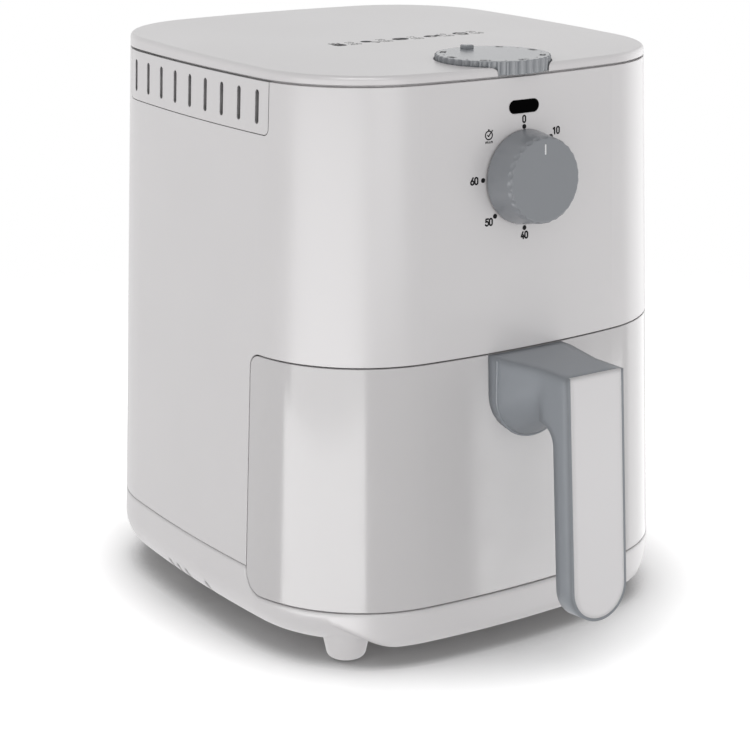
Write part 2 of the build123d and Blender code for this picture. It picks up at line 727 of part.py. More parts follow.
# Top cover with the dial's hole, which breaks out through its front edge
thermostat_posts = [(-THERMOSTAT_POST_X, 0), (THERMOSTAT_POST_X, 0)]
thermostat_plate_top_z = THERMOSTAT_PLATE_Z + THERMOSTAT_PLATE_T
with BuildPart() as top_cover:
    add(lid_block(0, 0))
    fillet(top_cover.faces().sort_by(Axis.Z)[-1].edges(), LID_EDGE_R)
    add(lid_block(LID_RIM, LID_SKIN), mode=Mode.SUBTRACT)
    with BuildSketch(level(LID_LOW_Z, DIAL_CENTRE_Y)):
        Circle(DIAL_R + DIAL_GAP)
    extrude(amount=LID_REAR_Z - LID_LOW_Z, mode=Mode.SUBTRACT)
    with BuildSketch(level(thermostat_plate_top_z, DIAL_CENTRE_Y)):
        with Locations(*thermostat_posts):
            Circle(THERMOSTAT_POST_R)
    extrude(amount=LID_DIAL_Z - LID_SKIN / 2 - thermostat_plate_top_z)
    add(lid_skirt())

# Indicator window and the lamp behind it
with BuildPart() as indicator_lens:
    with BuildSketch(front_wall(LENS_Z, -LENS_PROUD)):
        SlotOverall(LENS_W, LENS_H)
    extrude(amount=-LENS_DEPTH)
    fillet(indicator_lens.faces().sort_by(Axis.Y)[0].edges(), LENS_PROUD)
with BuildPart() as indicator_lamp:
    with BuildSketch(front_wall(LENS_Z, LENS_DEPTH - LENS_PROUD)):
        SlotOverall(LAMP_W, LAMP_H)
    extrude(amount=-LAMP_DEPTH)

# Timer: plate and case, bell, spindle and knob
with BuildPart() as timer_body:
    with BuildSketch(front_wall(TIMER_Z, timer_plate_in)):
        Rectangle(TIMER_PLATE_W, TIMER_BOX_W)
        with Locations(*timer_screws_at):
            Circle(SCREW_R + SNUG, mode=Mode.SUBTRACT)
    extrude(amount=-TIMER_PLATE_T)
    with BuildSketch(front_wall(TIMER_Z, timer_back_in)):
        Rectangle(TIMER_BOX_W, TIMER_BOX_W)
    extrude(amount=-TIMER_BOX_D)
    with BuildSketch(front_wall(TIMER_Z, timer_plate_in)):
        Circle(SPINDLE_R + SHAFT_FIT)
    extrude(amount=-(TIMER_PLATE_T + SPINDLE_GRIP + FIT), mode=Mode.SUBTRACT)
with BuildPart() as timer_bell:
    with BuildSketch(front_wall(TIMER_Z, timer_back_in + TIMER_BOX_D)):
        Circle(BELL_R)
    extrude(amount=-BELL_H)
    fillet(timer_bell.faces().sort_by(Axis.Y)[-1].edges(), BELL_H / 2)
timer_screws = screw_group(
    front_wall(TIMER_Z, timer_back_in),
    timer_screws_at,
    SCREW_R,
    SCREW_HEAD_R,
    SCREW_HEAD_H,
    TIMER_PLATE_T + TIMER_STANDOFF,
)
knob_base = front_wall(TIMER_Z, -KNOB_GAP)
knob_face = knob_base.offset(KNOB_REACH)
with BuildPart() as timer_knob:
    with BuildSketch(knob_base):
        Circle(KNOB_BASE_R)
    with BuildSketch(knob_face):
        Circle(KNOB_FACE_R)
    loft()
    fillet(timer_knob.faces().sort_by(Axis.Y)[0].edges(), KNOB_EDGE_R)
    with Locations(knob_face):
        with PolarLocations(KNOB_FACE_R + KNOB_SCALLOP_R - KNOB_SCALLOP_BITE, KNOB_SCALLOPS):
            Sphere(KNOB_SCALLOP_R, mode=Mode.SUBTRACT)
    with BuildSketch(knob_base):
        Circle(SPINDLE_R + SNUG)
    extrude(amount=SPINDLE_GRIP, mode=Mode.SUBTRACT)
with BuildPart() as timer_spindle:
    with BuildSketch(knob_base.offset(SPINDLE_GRIP)):
        Circle(SPINDLE_R)
    extrude(amount=-(SPINDLE_GRIP + KNOB_GAP + timer_back_in + SPINDLE_GRIP))

# Temperature dial, its tab and spindle, thermostat hung from the cover
with BuildPart() as temp_dial:
    with BuildSketch(level(DIAL_LOW_Z, DIAL_CENTRE_Y)):
        Circle(DIAL_R)
    extrude(amount=DIAL_TOP_Z - DIAL_LOW_Z)
    fillet(temp_dial.faces().sort_by(Axis.Z)[-1].edges(), DIAL_EDGE_R)
    with BuildSketch(level(DIAL_LOW_Z, DIAL_CENTRE_Y)):
        with PolarLocations(DIAL_R + DIAL_FLUTE_R - DIAL_FLUTE_BITE, DIAL_FLUTES):
            Circle(DIAL_FLUTE_R)
    extrude(amount=DIAL_TOP_Z - DIAL_LOW_Z, mode=Mode.SUBTRACT)
    with BuildSketch(level(DIAL_LOW_Z, DIAL_CENTRE_Y)):
        Circle(SPINDLE_R + SNUG)
    extrude(amount=DIAL_BORE, mode=Mode.SUBTRACT)
with BuildPart() as dial_tab:
    with BuildSketch(level(DIAL_TOP_Z, DIAL_CENTRE_Y + TAB_PLACE_R)):
        Rectangle(TAB_W, TAB_D)
    extrude(amount=TAB_TOP_Z - DIAL_TOP_Z)
    fillet(dial_tab.faces().sort_by(Axis.Z)[-1].edges(), TAB_EDGE_R)
with BuildPart() as dial_spindle:
    with BuildSketch(level(DIAL_LOW_Z + DIAL_BORE, DIAL_CENTRE_Y)):
        Circle(SPINDLE_R)
    extrude(amount=-(DIAL_BORE + DIAL_LOW_Z - THERMOSTAT_PLATE_Z + SPINDLE_GRIP))
with BuildPart() as thermostat_bracket:
    with BuildSketch(level(THERMOSTAT_PLATE_Z, DIAL_CENTRE_Y)):
        RectangleRounded(THERMOSTAT_PLATE_W, THERMOSTAT_PLATE_D, THERMOSTAT_POST_R)
        Circle(SPINDLE_HOLE_R, mode=Mode.SUBTRACT)
    extrude(amount=THERMOSTAT_PLATE_T)
with BuildPart() as thermostat_body:
    with BuildSketch(level(THERMOSTAT_Z, DIAL_CENTRE_Y)):
        Circle(THERMOSTAT_R)
    extrude(amount=THERMOSTAT_H)
    with BuildSketch(level(THERMOSTAT_PLATE_Z, DIAL_CENTRE_Y)):
        Circle(SPINDLE_R + SHAFT_FIT)
    extrude(amount=-(SPINDLE_GRIP + FIT), mode=Mode.SUBTRACT)
capillary_z = THERMOSTAT_Z + THERMOSTAT_H / 4
with BuildPart() as thermostat_capillary:
    with BuildLine() as capillary_path:
        FilletPolyline(
            (THERMOSTAT_R + SNUG, DIAL_CENTRE_Y, capillary_z),
            (CAPILLARY_X, DIAL_CENTRE_Y, capillary_z),
            (CAPILLARY_X, DIAL_CENTRE_Y, BULB_TOP_Z),
            radius=CAPILLARY_BEND_R,
        )
    with BuildSketch(Plane(origin=capillary_path.line @ 0, z_dir=capillary_path.line % 0)):
        Circle(CAPILLARY_R)
    sweep()
    with BuildSketch(level(BULB_TOP_Z, DIAL_CENTRE_Y)):
        with Locations((CAPILLARY_X, 0)):
            Circle(BULB_R)
    extrude(amount=-BULB_LENGTH)

# Drawer: gloss front that wraps round the corners, pan, support block, grid
handle_screws_at = [(0, -HANDLE_SCREW_PITCH / 2), (0, HANDLE_SCREW_PITCH / 2)]
handle_face = front_wall(HANDLE_SCREW_Z)
with BuildPart() as drawer_front:
    add(body_block(DRAWER_Z, DRAWER_TOP_Z))
    add(body_block(DRAWER_Z + HALF_SEAM + DRAWER_WALL, PAN_TOP_Z, DRAWER_WALL), mode=Mode.SUBTRACT)
    add(square_block(PAN_TOP_Z, DRAWER_TOP_Z, -PAN_SHEET), mode=Mode.SUBTRACT)
    add(switch_rib())
    add(drawer_zone(-HALF_SEAM), mode=Mode.INTERSECT)
    with BuildSketch(handle_face):
        with Locations(*handle_screws_at):
            Circle(HANDLE_SCREW_R + SNUG)
    extrude(amount=2 * DRAWER_WALL, both=True, mode=Mode.SUBTRACT)
with BuildPart() as pan_inside:
    add(pan_block(PAN_Z + PAN_SHEET, PAN_TOP_Z, -PAN_SHEET))
    fillet(pan_inside.faces().sort_by(Axis.Z)[0].edges(), PAN_FLOOR_R - PAN_SHEET)
with BuildPart() as pan:
    add(pan_block(PAN_Z, PAN_TOP_Z))
    fillet(pan.faces().sort_by(Axis.Z)[0].edges(), PAN_FLOOR_R)
    add(square_block(PAN_TOP_Z - PAN_SHEET, PAN_TOP_Z, PAN_RIM))
    add(pan_inside.part, mode=Mode.SUBTRACT)
with BuildPart() as pan_support:
    with BuildSketch(level(SUPPORT_Z, front_y(SUPPORT_Z))):
        Rectangle(SUPPORT_W, 2 * (PAN_Y - PAN_DEPTH / 2 - front_y(SUPPORT_Z)) + SUPPORT_W)
    extrude(amount=SUPPORT_H)
    add(body_block(SUPPORT_Z, SUPPORT_Z + SUPPORT_H, DRAWER_WALL + SNUG), mode=Mode.INTERSECT)
    add(pan_block(PAN_Z, PAN_TOP_Z, SNUG), mode=Mode.SUBTRACT)
    with BuildSketch(handle_face):
        with Locations(*handle_screws_at):
            Circle(HANDLE_SCREW_HEAD_R + FIT)
    extrude(amount=-BODY_DEPTH / 2, mode=Mode.SUBTRACT)
grid_grow = -(PAN_SHEET + GRID_GAP + (PAN_TOP_Z - GRID_Z) * tan(radians(PAN_DRAFT_ANGLE)))
bumper_in = (BUMPER_W + PAN_FLOOR_R) / 2
bumper_x = PAN_WIDTH / 2 + grid_grow - bumper_in
bumper_y = PAN_DEPTH / 2 + grid_grow - bumper_in
bumpers = [(-bumper_x, 0), (bumper_x, 0), (0, -bumper_y), (0, bumper_y)]
with BuildPart() as crisper_grid:
    add(square_block(GRID_Z, GRID_Z + GRID_T, grid_grow))
    with BuildSketch(level(GRID_Z, PAN_Y)):
        with GridLocations(GRID_PITCH, GRID_PITCH, GRID_HOLES, GRID_HOLES):
            Circle(GRID_HOLE_R)
    extrude(amount=GRID_T, mode=Mode.SUBTRACT)
bumper_z = PAN_Z + PAN_SHEET + FIT
with BuildPart() as grid_bumpers:
    with BuildSketch(level(bumper_z, PAN_Y)):
        with Locations(*bumpers):
            RectangleRounded(BUMPER_W, BUMPER_W, BUMPER_EDGE_R)
    extrude(amount=GRID_Z - bumper_z)

# Handle: collar on the drawer, tapering neck, leaning grip with its front plate
grip_plane = Plane(
    origin=(0, -OVERALL_DEPTH / 2, HANDLE_LOW_Z),
    x_dir=(1, 0, 0),
    z_dir=(0, -cos(radians(GRIP_LEAN_ANGLE)), sin(radians(GRIP_LEAN_ANGLE))),
)
grip_length = (HANDLE_TOP_Z - HANDLE_LOW_Z) / cos(radians(GRIP_LEAN_ANGLE)) + GRIP_T
collar_y = front_y(HANDLE_TOP_Z) - COLLAR_DEPTH
arch_z = NECK_LOW_Z - ARCH_R
grip_back_y = (
    -OVERALL_DEPTH / 2
    + (arch_z - HANDLE_LOW_Z) * tan(radians(GRIP_LEAN_ANGLE))
    + (COVER_PROUD + GRIP_T) / cos(radians(GRIP_LEAN_ANGLE))
)
neck_end_y = grip_back_y + ARCH_R
cover_inset = (GRIP_W - COVER_W) / 2
with BuildPart() as handle_bracket:
    extrude(drop_shape(grip_plane.offset(-COVER_PROUD), GRIP_W, 0, grip_length), amount=-GRIP_T)
    with BuildSketch(Plane.YZ):
        with BuildLine():
            Line((grip_back_y - GRIP_T / 2, arch_z), (grip_back_y, arch_z))
            RadiusArc((grip_back_y, arch_z), (neck_end_y, NECK_LOW_Z), ARCH_R)
            Line((neck_end_y, NECK_LOW_Z), (neck_end_y, HANDLE_TOP_Z))
            Line((neck_end_y, HANDLE_TOP_Z), (grip_back_y - GRIP_T / 2, HANDLE_TOP_Z))
            Line((grip_back_y - GRIP_T / 2, HANDLE_TOP_Z), (grip_back_y - GRIP_T / 2, arch_z))
        make_face()
    extrude(amount=GRIP_W / 2, both=True)
    loft([
        *drop_shape(facing_front(neck_end_y), GRIP_W, NECK_LOW_Z, HANDLE_TOP_Z).faces(),
        *drop_shape(facing_front(collar_y), COLLAR_W, COLLAR_LOW_Z, HANDLE_TOP_Z).faces(),
    ])
    extrude(
        drop_shape(facing_front(collar_y), COLLAR_W, COLLAR_LOW_Z, HANDLE_TOP_Z),
        amount=-2 * COLLAR_DEPTH,
    )
    add(body_block(COLLAR_LOW_Z - COLLAR_DEPTH, DRAWER_TOP_Z, -SNUG), mode=Mode.SUBTRACT)
    split(bisect_by=Plane.XY.offset(HANDLE_TOP_Z), keep=Keep.BOTTOM)
    with BuildSketch(handle_face):
        with Locations(*handle_screws_at):
            Circle(HANDLE_SCREW_R + SNUG)
    extrude(amount=HANDLE_SCREW_LENGTH, mode=Mode.SUBTRACT)
    extrude(
        drop_shape(grip_plane, COVER_W + 2 * SNUG, cover_inset - SNUG, grip_length),
        amount=-COVER_T,
        mode=Mode.SUBTRACT,
    )
with BuildPart() as handle_cover:
    extrude(drop_shape(grip_plane, COVER_W, cover_inset, grip_length), amount=-COVER_T)
    split(bisect_by=Plane.XY.offset(HANDLE_TOP_Z), keep=Keep.BOTTOM)
    fillet(handle_cover.faces().sort_by(Axis.Y)[0].edges(), COVER_EDGE_R)
handle_screws = screw_group(
    handle_face.offset(-DRAWER_WALL - SNUG),
    handle_screws_at,
    HANDLE_SCREW_R,
    HANDLE_SCREW_HEAD_R,
    HANDLE_SCREW_HEAD_H,
    HANDLE_SCREW_LENGTH,
)

# Bay behind the drawer: sheet box with a bulkhead across the body, and the two rails
with BuildPart() as pan_bay:
    with BuildSketch(level(BAY_Z, BULKHEAD_Y)) as bay_plan:
        with Locations((0, (BAY_BACK_Y + BAY_SHEET - BULKHEAD_Y) / 2)):
            Rectangle(2 * (BAY_HALF_W + BAY_SHEET), BAY_BACK_Y + BAY_SHEET - BULKHEAD_Y)
        fillet(bay_plan.vertices().group_by(Axis.Y)[-1], PAN_CORNER_R + BAY_SHEET)
    extrude(amount=BAY_TOP_Z - BAY_Z)
    with BuildSketch(level(BAY_FLOOR_Z, BULKHEAD_Y)) as bay_inside:
        with Locations((0, (BAY_BACK_Y - BULKHEAD_Y) / 2)):
            Rectangle(2 * BAY_HALF_W, BAY_BACK_Y - BULKHEAD_Y)
        fillet(bay_inside.vertices().group_by(Axis.Y)[-1], PAN_CORNER_R)
    extrude(amount=BAY_TOP_Z - BAY_FLOOR_Z, mode=Mode.SUBTRACT)
    add(bulkhead())
    with BuildSketch(level(BAY_Z)):
        with Locations(*posts):
            Circle(SCREW_R + SNUG)
    extrude(amount=BAY_SHEET, mode=Mode.SUBTRACT)
rail_length = BAY_BACK_Y - BULKHEAD_BACK_Y - PAN_CORNER_R
with BuildPart() as drawer_rails:
    with BuildSketch(level(BAY_FLOOR_Z, BULKHEAD_BACK_Y + rail_length / 2)):
        with Locations((-RAIL_X, 0), (RAIL_X, 0)):
            Rectangle(RAIL_W, rail_length)
    extrude(amount=PAN_Z - FIT - BAY_FLOOR_Z)

# Drawer switch behind the bulkhead, pressed by a rib on the drawer front
plunger_tip_y = DRAWER_EDGE - HALF_SEAM + FIT
plunger_back_y = BULKHEAD_BACK_Y + PLUNGER_IN
with BuildPart() as drawer_switch:
    with BuildSketch(facing_front(BULKHEAD_BACK_Y, SWITCH_Z)):
        with Locations((SWITCH_X, 0)):
            Rectangle(SWITCH_W, SWITCH_H)
    extrude(amount=-SWITCH_D)
    with BuildSketch(facing_front(BULKHEAD_BACK_Y, SWITCH_Z)):
        with Locations((SWITCH_X, 0)):
            Rectangle(PLUNGER_W + 2 * FIT, PLUNGER_H + 2 * FIT)
    extrude(amount=-(PLUNGER_IN + PLUNGER_PLAY + FIT), mode=Mode.SUBTRACT)
with BuildPart() as switch_plunger:
    with BuildSketch(facing_front(plunger_tip_y, SWITCH_Z)):
        with Locations((SWITCH_X, 0)):
            Rectangle(PLUNGER_W, PLUNGER_H)
    extrude(amount=-(plunger_back_y - plunger_tip_y))

# Heating chamber over the pan, guard, tubular element with its clips and bushings
element_middle_r = (ELEMENT_OUTER_R + ELEMENT_INNER_R) / 2
element_bend = [sin(radians(45)) * ELEMENT_BEND_R, (1 - cos(radians(45))) * ELEMENT_BEND_R]


def element_point(radius, angle, along=0.0, up=0.0):
    """Point of the element by radius and angle, moved along the round and upwards."""
    turn = radians(angle)
    x = radius * cos(turn) - along * sin(turn)
    y = PAN_Y + radius * sin(turn) + along * cos(turn)
    return (x, y, ELEMENT_Z + up)


element_end = ELEMENT_START_ANGLE + ELEMENT_SWEEP_ANGLE
element_legs = [
    element_point(radius, ELEMENT_START_ANGLE, -ELEMENT_BEND_R, ELEMENT_TOP_Z - ELEMENT_Z)
    for radius in (ELEMENT_OUTER_R, ELEMENT_INNER_R)
]
legs_at = [(x, y - PAN_Y) for x, y, z in element_legs]
with BuildPart() as heating_element:
    with BuildLine() as element_path:
        for radius, top in zip((ELEMENT_OUTER_R, ELEMENT_INNER_R), element_legs):
            bend_top = element_point(radius, ELEMENT_START_ANGLE, -ELEMENT_BEND_R, ELEMENT_BEND_R)
            Line(top, bend_top)
            ThreePointArc(
                bend_top,
                element_point(radius, ELEMENT_START_ANGLE, -element_bend[0], element_bend[1]),
                element_point(radius, ELEMENT_START_ANGLE),
            )
            CenterArc((0, PAN_Y, ELEMENT_Z), radius, ELEMENT_START_ANGLE, ELEMENT_SWEEP_ANGLE)
        ThreePointArc(
            element_point(ELEMENT_OUTER_R, element_end),
            element_point(element_middle_r, element_end, ELEMENT_OUTER_R - element_middle_r),
            element_point(ELEMENT_INNER_R, element_end),
        )
    with BuildSketch(Plane(origin=element_legs[0], z_dir=(0, 0, -1))):
        Circle(ELEMENT_R)
    sweep(path=element_path.wires()[0])
with BuildPart() as element_clips:
    clip_top_z = ELEMENT_Z - ELEMENT_R - SNUG
    with BuildSketch(level(clip_top_z - CLIP_SHEET, PAN_Y)):
        with PolarLocations(element_middle_r, CLIP_COUNT, start_angle=CLIP_START_ANGLE):
            Rectangle(CLIP_SPAN, CLIP_W)
    extrude(amount=CLIP_SHEET)
    with BuildSketch(level(clip_top_z, PAN_Y)):
        with PolarLocations(element_middle_r, CLIP_COUNT, start_angle=CLIP_START_ANGLE):
            Rectangle(CLIP_SHEET, CLIP_W)
    extrude(amount=CHAMBER_ROOF_Z - clip_top_z)
with BuildPart() as element_bushings:
    with BuildSketch(level(CHAMBER_TOP_Z, PAN_Y)):
        with Locations(*legs_at):
            Circle(BUSHING_R)
            Circle(ELEMENT_R + SNUG, mode=Mode.SUBTRACT)
    extrude(amount=BUSHING_H)
chamber_out = CHAMBER_GAP + CHAMBER_SHEET
with BuildPart() as heat_chamber:
    add(square_block(BAY_TOP_Z, CHAMBER_TOP_Z, chamber_out))
    add(square_block(BAY_TOP_Z, GUARD_Z, chamber_out + CHAMBER_FLANGE))
    add(square_block(BAY_TOP_Z, GUARD_Z, CHAMBER_GAP - CHAMBER_LIP), mode=Mode.SUBTRACT)
    add(square_block(GUARD_Z, CHAMBER_ROOF_Z, CHAMBER_GAP), mode=Mode.SUBTRACT)
    with BuildSketch(level(CHAMBER_ROOF_Z, PAN_Y)):
        Circle(SHAFT_HOLE_R)
        with Locations(*legs_at):
            Circle(ELEMENT_R + SNUG)
        with Locations((CAPILLARY_X, DIAL_CENTRE_Y - PAN_Y)):
            Circle(CAPILLARY_R + FIT)
    extrude(amount=CHAMBER_SHEET, mode=Mode.SUBTRACT)
    with BuildSketch(facing_rear(PAN_BACK_Y, DUCT_Z)):
        Rectangle(duct_hole_w, duct_hole_h)
    extrude(amount=CHAMBER_BACK_Y - PAN_BACK_Y, mode=Mode.SUBTRACT)
with BuildPart() as element_guard:
    add(square_block(GUARD_Z, GUARD_Z + GUARD_T, CHAMBER_GAP - FIT))
    with BuildSketch(level(GUARD_Z, PAN_Y)):
        with GridLocations(GUARD_PITCH, GUARD_PITCH, GUARD_HOLES, GUARD_HOLES):
            Rectangle(GUARD_HOLE_W, GUARD_HOLE_W)
    extrude(amount=GUARD_T, mode=Mode.SUBTRACT)

# Motor on its bridge, shaft with both fan wheels and the nut
bridge_leg_x = (BRACKET_LENGTH - BRACKET_SHEET) / 2
bridge_foot_x = (BRACKET_LENGTH + BRACKET_FOOT) / 2
motor_screws_at = [(-MOTOR_SCREW_X, 0), (MOTOR_SCREW_X, 0)]
with BuildPart() as motor_bracket:
    with BuildSketch(facing_front(PAN_Y, CHAMBER_TOP_Z)):
        with Locations((0, BRACKET_H - BRACKET_SHEET / 2)):
            Rectangle(BRACKET_LENGTH, BRACKET_SHEET)
        with Locations((-bridge_leg_x, BRACKET_H / 2), (bridge_leg_x, BRACKET_H / 2)):
            Rectangle(BRACKET_SHEET, BRACKET_H)
        with Locations((-bridge_foot_x, BRACKET_SHEET / 2), (bridge_foot_x, BRACKET_SHEET / 2)):
            Rectangle(BRACKET_FOOT, BRACKET_SHEET)
    extrude(amount=BRACKET_W / 2, both=True)
    with BuildSketch(level(MOTOR_Z, PAN_Y)):
        Circle(SHAFT_HOLE_R)
        with Locations(*motor_screws_at):
            Circle(SCREW_R + SNUG)
    extrude(amount=-BRACKET_SHEET, mode=Mode.SUBTRACT)
with BuildPart() as motor:
    with BuildSketch(level(MOTOR_Z, PAN_Y)):
        Circle(MOTOR_R)
    extrude(amount=MOTOR_H)
    fillet(motor.edges(), MOTOR_EDGE_R)
    with BuildSketch(level(MOTOR_Z, PAN_Y)):
        Circle(SHAFT_R + SHAFT_FIT)
    extrude(amount=MOTOR_H, mode=Mode.SUBTRACT)
    with BuildSketch(level(MOTOR_Z, PAN_Y)):
        with Locations(*motor_screws_at):
            Circle(SCREW_R + SNUG)
    extrude(amount=MOTOR_SCREW_GRIP, mode=Mode.SUBTRACT)
motor_screws = screw_group(
    level(MOTOR_Z - BRACKET_SHEET, PAN_Y),
    motor_screws_at,
    SCREW_R,
    SCREW_HEAD_R,
    SCREW_HEAD_H,
    BRACKET_SHEET + MOTOR_SCREW_GRIP,
)
with BuildPart() as motor_shaft:
    with BuildSketch(level(SHAFT_LOW_Z, PAN_Y)):
        Circle(SHAFT_R)
    extrude(amount=SHAFT_TOP_Z - SHAFT_LOW_Z)
hot_fan = radial_fan(HOT_FAN_Z, HOT_FAN_R, HOT_FAN_H)
cooling_fan = radial_fan(COOL_FAN_Z, COOL_FAN_R, COOL_FAN_H)
with BuildPart() as fan_nut:
    with BuildSketch(level(HOT_FAN_Z, PAN_Y)):
        RegularPolygon(NUT_R, side_count=6)
        Circle(SHAFT_R + SHAFT_FIT, mode=Mode.SUBTRACT)
    extrude(amount=-NUT_H)

# Rear: duct from the chamber, outlet hood, cord gland; small parts on the chamber roof
with BuildPart() as air_duct:
    with BuildSketch(facing_rear(CHAMBER_BACK_Y + SNUG, DUCT_Z)):
        Rectangle(DUCT_W, DUCT_H)
        Rectangle(duct_hole_w, duct_hole_h, mode=Mode.SUBTRACT)
    extrude(amount=REAR_Y - CHAMBER_BACK_Y)
    add(body_block(SHELL_Z, SHELL_TOP_Z, WALL + SNUG), mode=Mode.INTERSECT)
hood_start_y = rear_y(SHELL_TOP_Z) - 2 * HOOD_EDGE_R
with BuildPart() as outlet_hood:
    with BuildSketch(facing_rear(hood_start_y, HOOD_Z)):
        RectangleRounded(HOOD_W, HOOD_H, HOOD_EDGE_R)
    extrude(amount=REAR_Y - hood_start_y)
    fillet(outlet_hood.faces().sort_by(Axis.Y)[-1].edges(), HOOD_EDGE_R - HOOD_WALL)
    with BuildSketch(facing_rear(hood_start_y, HOOD_Z)):
        RectangleRounded(HOOD_W - 2 * HOOD_WALL, HOOD_H - 2 * HOOD_WALL, HOOD_EDGE_R - HOOD_WALL)
    extrude(amount=REAR_Y - HOOD_WALL - hood_start_y, mode=Mode.SUBTRACT)
    with BuildSketch(facing_rear(REAR_Y, HOOD_Z)):
        with GridLocations(HOOD_LOUVRE_W, HOOD_LOUVRE_PITCH, 1, HOOD_LOUVRES):
            SlotOverall(HOOD_LOUVRE_W, HOOD_LOUVRE_H)
    extrude(amount=-2 * HOOD_WALL, mode=Mode.SUBTRACT)
    add(body_block(SHELL_Z, SHELL_TOP_Z, -SNUG), mode=Mode.SUBTRACT)
with BuildPart() as cord_gland:
    with BuildSketch(facing_rear(gland_y, GLAND_Z, DRAFT_ANGLE)):
        Circle(GLAND_R)
    extrude(amount=GLAND_T)
    fillet(cord_gland.faces().sort_by(Axis.Y)[-1].edges(), GLAND_T / 2)
    with BuildSketch(facing_rear(gland_y, GLAND_Z, DRAFT_ANGLE)):
        Circle(GLAND_NECK_R)
    extrude(amount=-GLAND_NECK_L)
    with BuildSketch(facing_rear(gland_y, GLAND_Z, DRAFT_ANGLE)):
        Circle(GLAND_BORE_R)
    extrude(amount=GLAND_T + GLAND_NECK_L, both=True, mode=Mode.SUBTRACT)
with BuildPart() as terminal_block:
    with BuildSketch(level(CHAMBER_TOP_Z, PAN_Y)):
        with Locations((TERMINAL_X, TERMINAL_Y)):
            Rectangle(TERMINAL_W, TERMINAL_D)
    extrude(amount=TERMINAL_H)
    with BuildSketch(level(CHAMBER_TOP_Z + TERMINAL_H, PAN_Y)):
        with Locations((TERMINAL_X, TERMINAL_Y)):
            with GridLocations(TERMINAL_W / TERMINAL_WAYS, TERMINAL_D / 2, TERMINAL_WAYS, 2):
                Circle(SCREW_R)
    extrude(amount=-TERMINAL_H / 2, mode=Mode.SUBTRACT)
with BuildPart() as thermal_fuse:
    with BuildSketch(level(CHAMBER_TOP_Z, PAN_Y)):
        with Locations((FUSE_X, FUSE_Y)):
            Rectangle(FUSE_L, 2 * FUSE_R)
    extrude(amount=FUSE_R)
    with BuildSketch(Plane.YZ.offset(FUSE_X)):
        with Locations((PAN_Y + FUSE_Y, CHAMBER_TOP_Z + FUSE_R)):
            Circle(FUSE_R)
    extrude(amount=FUSE_L / 2, both=True)

pieces = {
    "base_tray": base_tray,
    "foot_pads": foot_pads,
    "base_screws": base_screws,
    "outer_shell": outer_shell,
    "vent_panel_left": vent_panel_left,
    "vent_panel_right": vent_panel_right,
    "top_cover": top_cover,
    "indicator_lens": indicator_lens,
    "indicator_lamp": indicator_lamp,
    "timer_body": timer_body,
    "timer_bell": timer_bell,
    "timer_screws": timer_screws,
    "timer_knob": timer_knob,
    "timer_spindle": timer_spindle,
    "temp_dial": temp_dial,
    "dial_tab": dial_tab,
    "dial_spindle": dial_spindle,
    "thermostat_bracket": thermostat_bracket,
    "thermostat_body": thermostat_body,
    "thermostat_capillary": thermostat_capillary,
    "drawer_front": drawer_front,
    "pan": pan,
    "pan_support": pan_support,
    "crisper_grid": crisper_grid,
    "grid_bumpers": grid_bumpers,
    "handle_bracket": handle_bracket,
    "handle_cover": handle_cover,
    "handle_screws": handle_screws,
    "pan_bay": pan_bay,
    "drawer_rails": drawer_rails,
    "drawer_switch": drawer_switch,
    "switch_plunger": switch_plunger,
    "heating_element": heating_element,
    "element_clips": element_clips,
    "element_bushings": element_bushings,
    "heat_chamber": heat_chamber,
    "element_guard": element_guard,
    "motor_bracket": motor_bracket,
    "motor": motor,
    "motor_screws": motor_screws,
    "motor_shaft": motor_shaft,
    "hot_fan": hot_fan,
    "cooling_fan": cooling_fan,
    "fan_nut": fan_nut,
    "air_duct": air_duct,
    "outlet_hood": outlet_hood,
    "cord_gland": cord_gland,
    "terminal_block": terminal_block,
    "thermal_fuse": thermal_fuse,
}
for name, piece in pieces.items():
    piece.part.label = name
    export_step(piece.part, f"parts/{name}.step")
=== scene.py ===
"""Looks of the air fryer: finishes for its solid pieces, printed marks and a plain studio."""

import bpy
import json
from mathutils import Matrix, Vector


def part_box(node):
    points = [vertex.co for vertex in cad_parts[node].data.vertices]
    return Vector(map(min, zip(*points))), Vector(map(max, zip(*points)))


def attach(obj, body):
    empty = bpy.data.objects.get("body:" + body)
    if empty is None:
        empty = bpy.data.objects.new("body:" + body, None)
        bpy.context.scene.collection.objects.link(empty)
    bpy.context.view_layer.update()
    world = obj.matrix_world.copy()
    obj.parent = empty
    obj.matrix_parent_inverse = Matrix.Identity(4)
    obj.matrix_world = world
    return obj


bl_info = {
    "name": "Air fryer looks",
    "version": (1, 0, 0),
    "blender": (4, 5, 0),
    "location": "View3D > Sidebar > Air fryer",
    "description": "Finishes, printed scales and a plain studio for a drawer air fryer",
    "category": "Object",
}

import json
import math

import bpy
import numpy as np
from bpy.props import FloatProperty, FloatVectorProperty, IntProperty, PointerProperty
from mathutils import Vector

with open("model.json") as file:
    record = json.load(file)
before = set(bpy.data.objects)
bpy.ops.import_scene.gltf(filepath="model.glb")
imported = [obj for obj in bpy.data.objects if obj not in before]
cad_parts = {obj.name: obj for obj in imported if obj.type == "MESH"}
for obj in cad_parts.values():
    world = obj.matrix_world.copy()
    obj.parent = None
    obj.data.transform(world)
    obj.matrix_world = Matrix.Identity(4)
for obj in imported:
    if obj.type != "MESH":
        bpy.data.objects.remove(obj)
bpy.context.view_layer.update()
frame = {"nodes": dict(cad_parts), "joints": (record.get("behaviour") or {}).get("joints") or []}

# The front wall is a cone: its bow has this middle and radius at table height, less the draft
WALL_BOW_Y = 0.388986
WALL_BOW_R = 0.509267
WALL_DRAFT = math.radians(2.43)
# The lid's top leans forward: its rear edge would meet the body's rear at this place
LID_REAR_Y = 0.139
LID_REAR_Z = 0.2937
LID_LEAN = math.atan2(0.0027, 0.258)
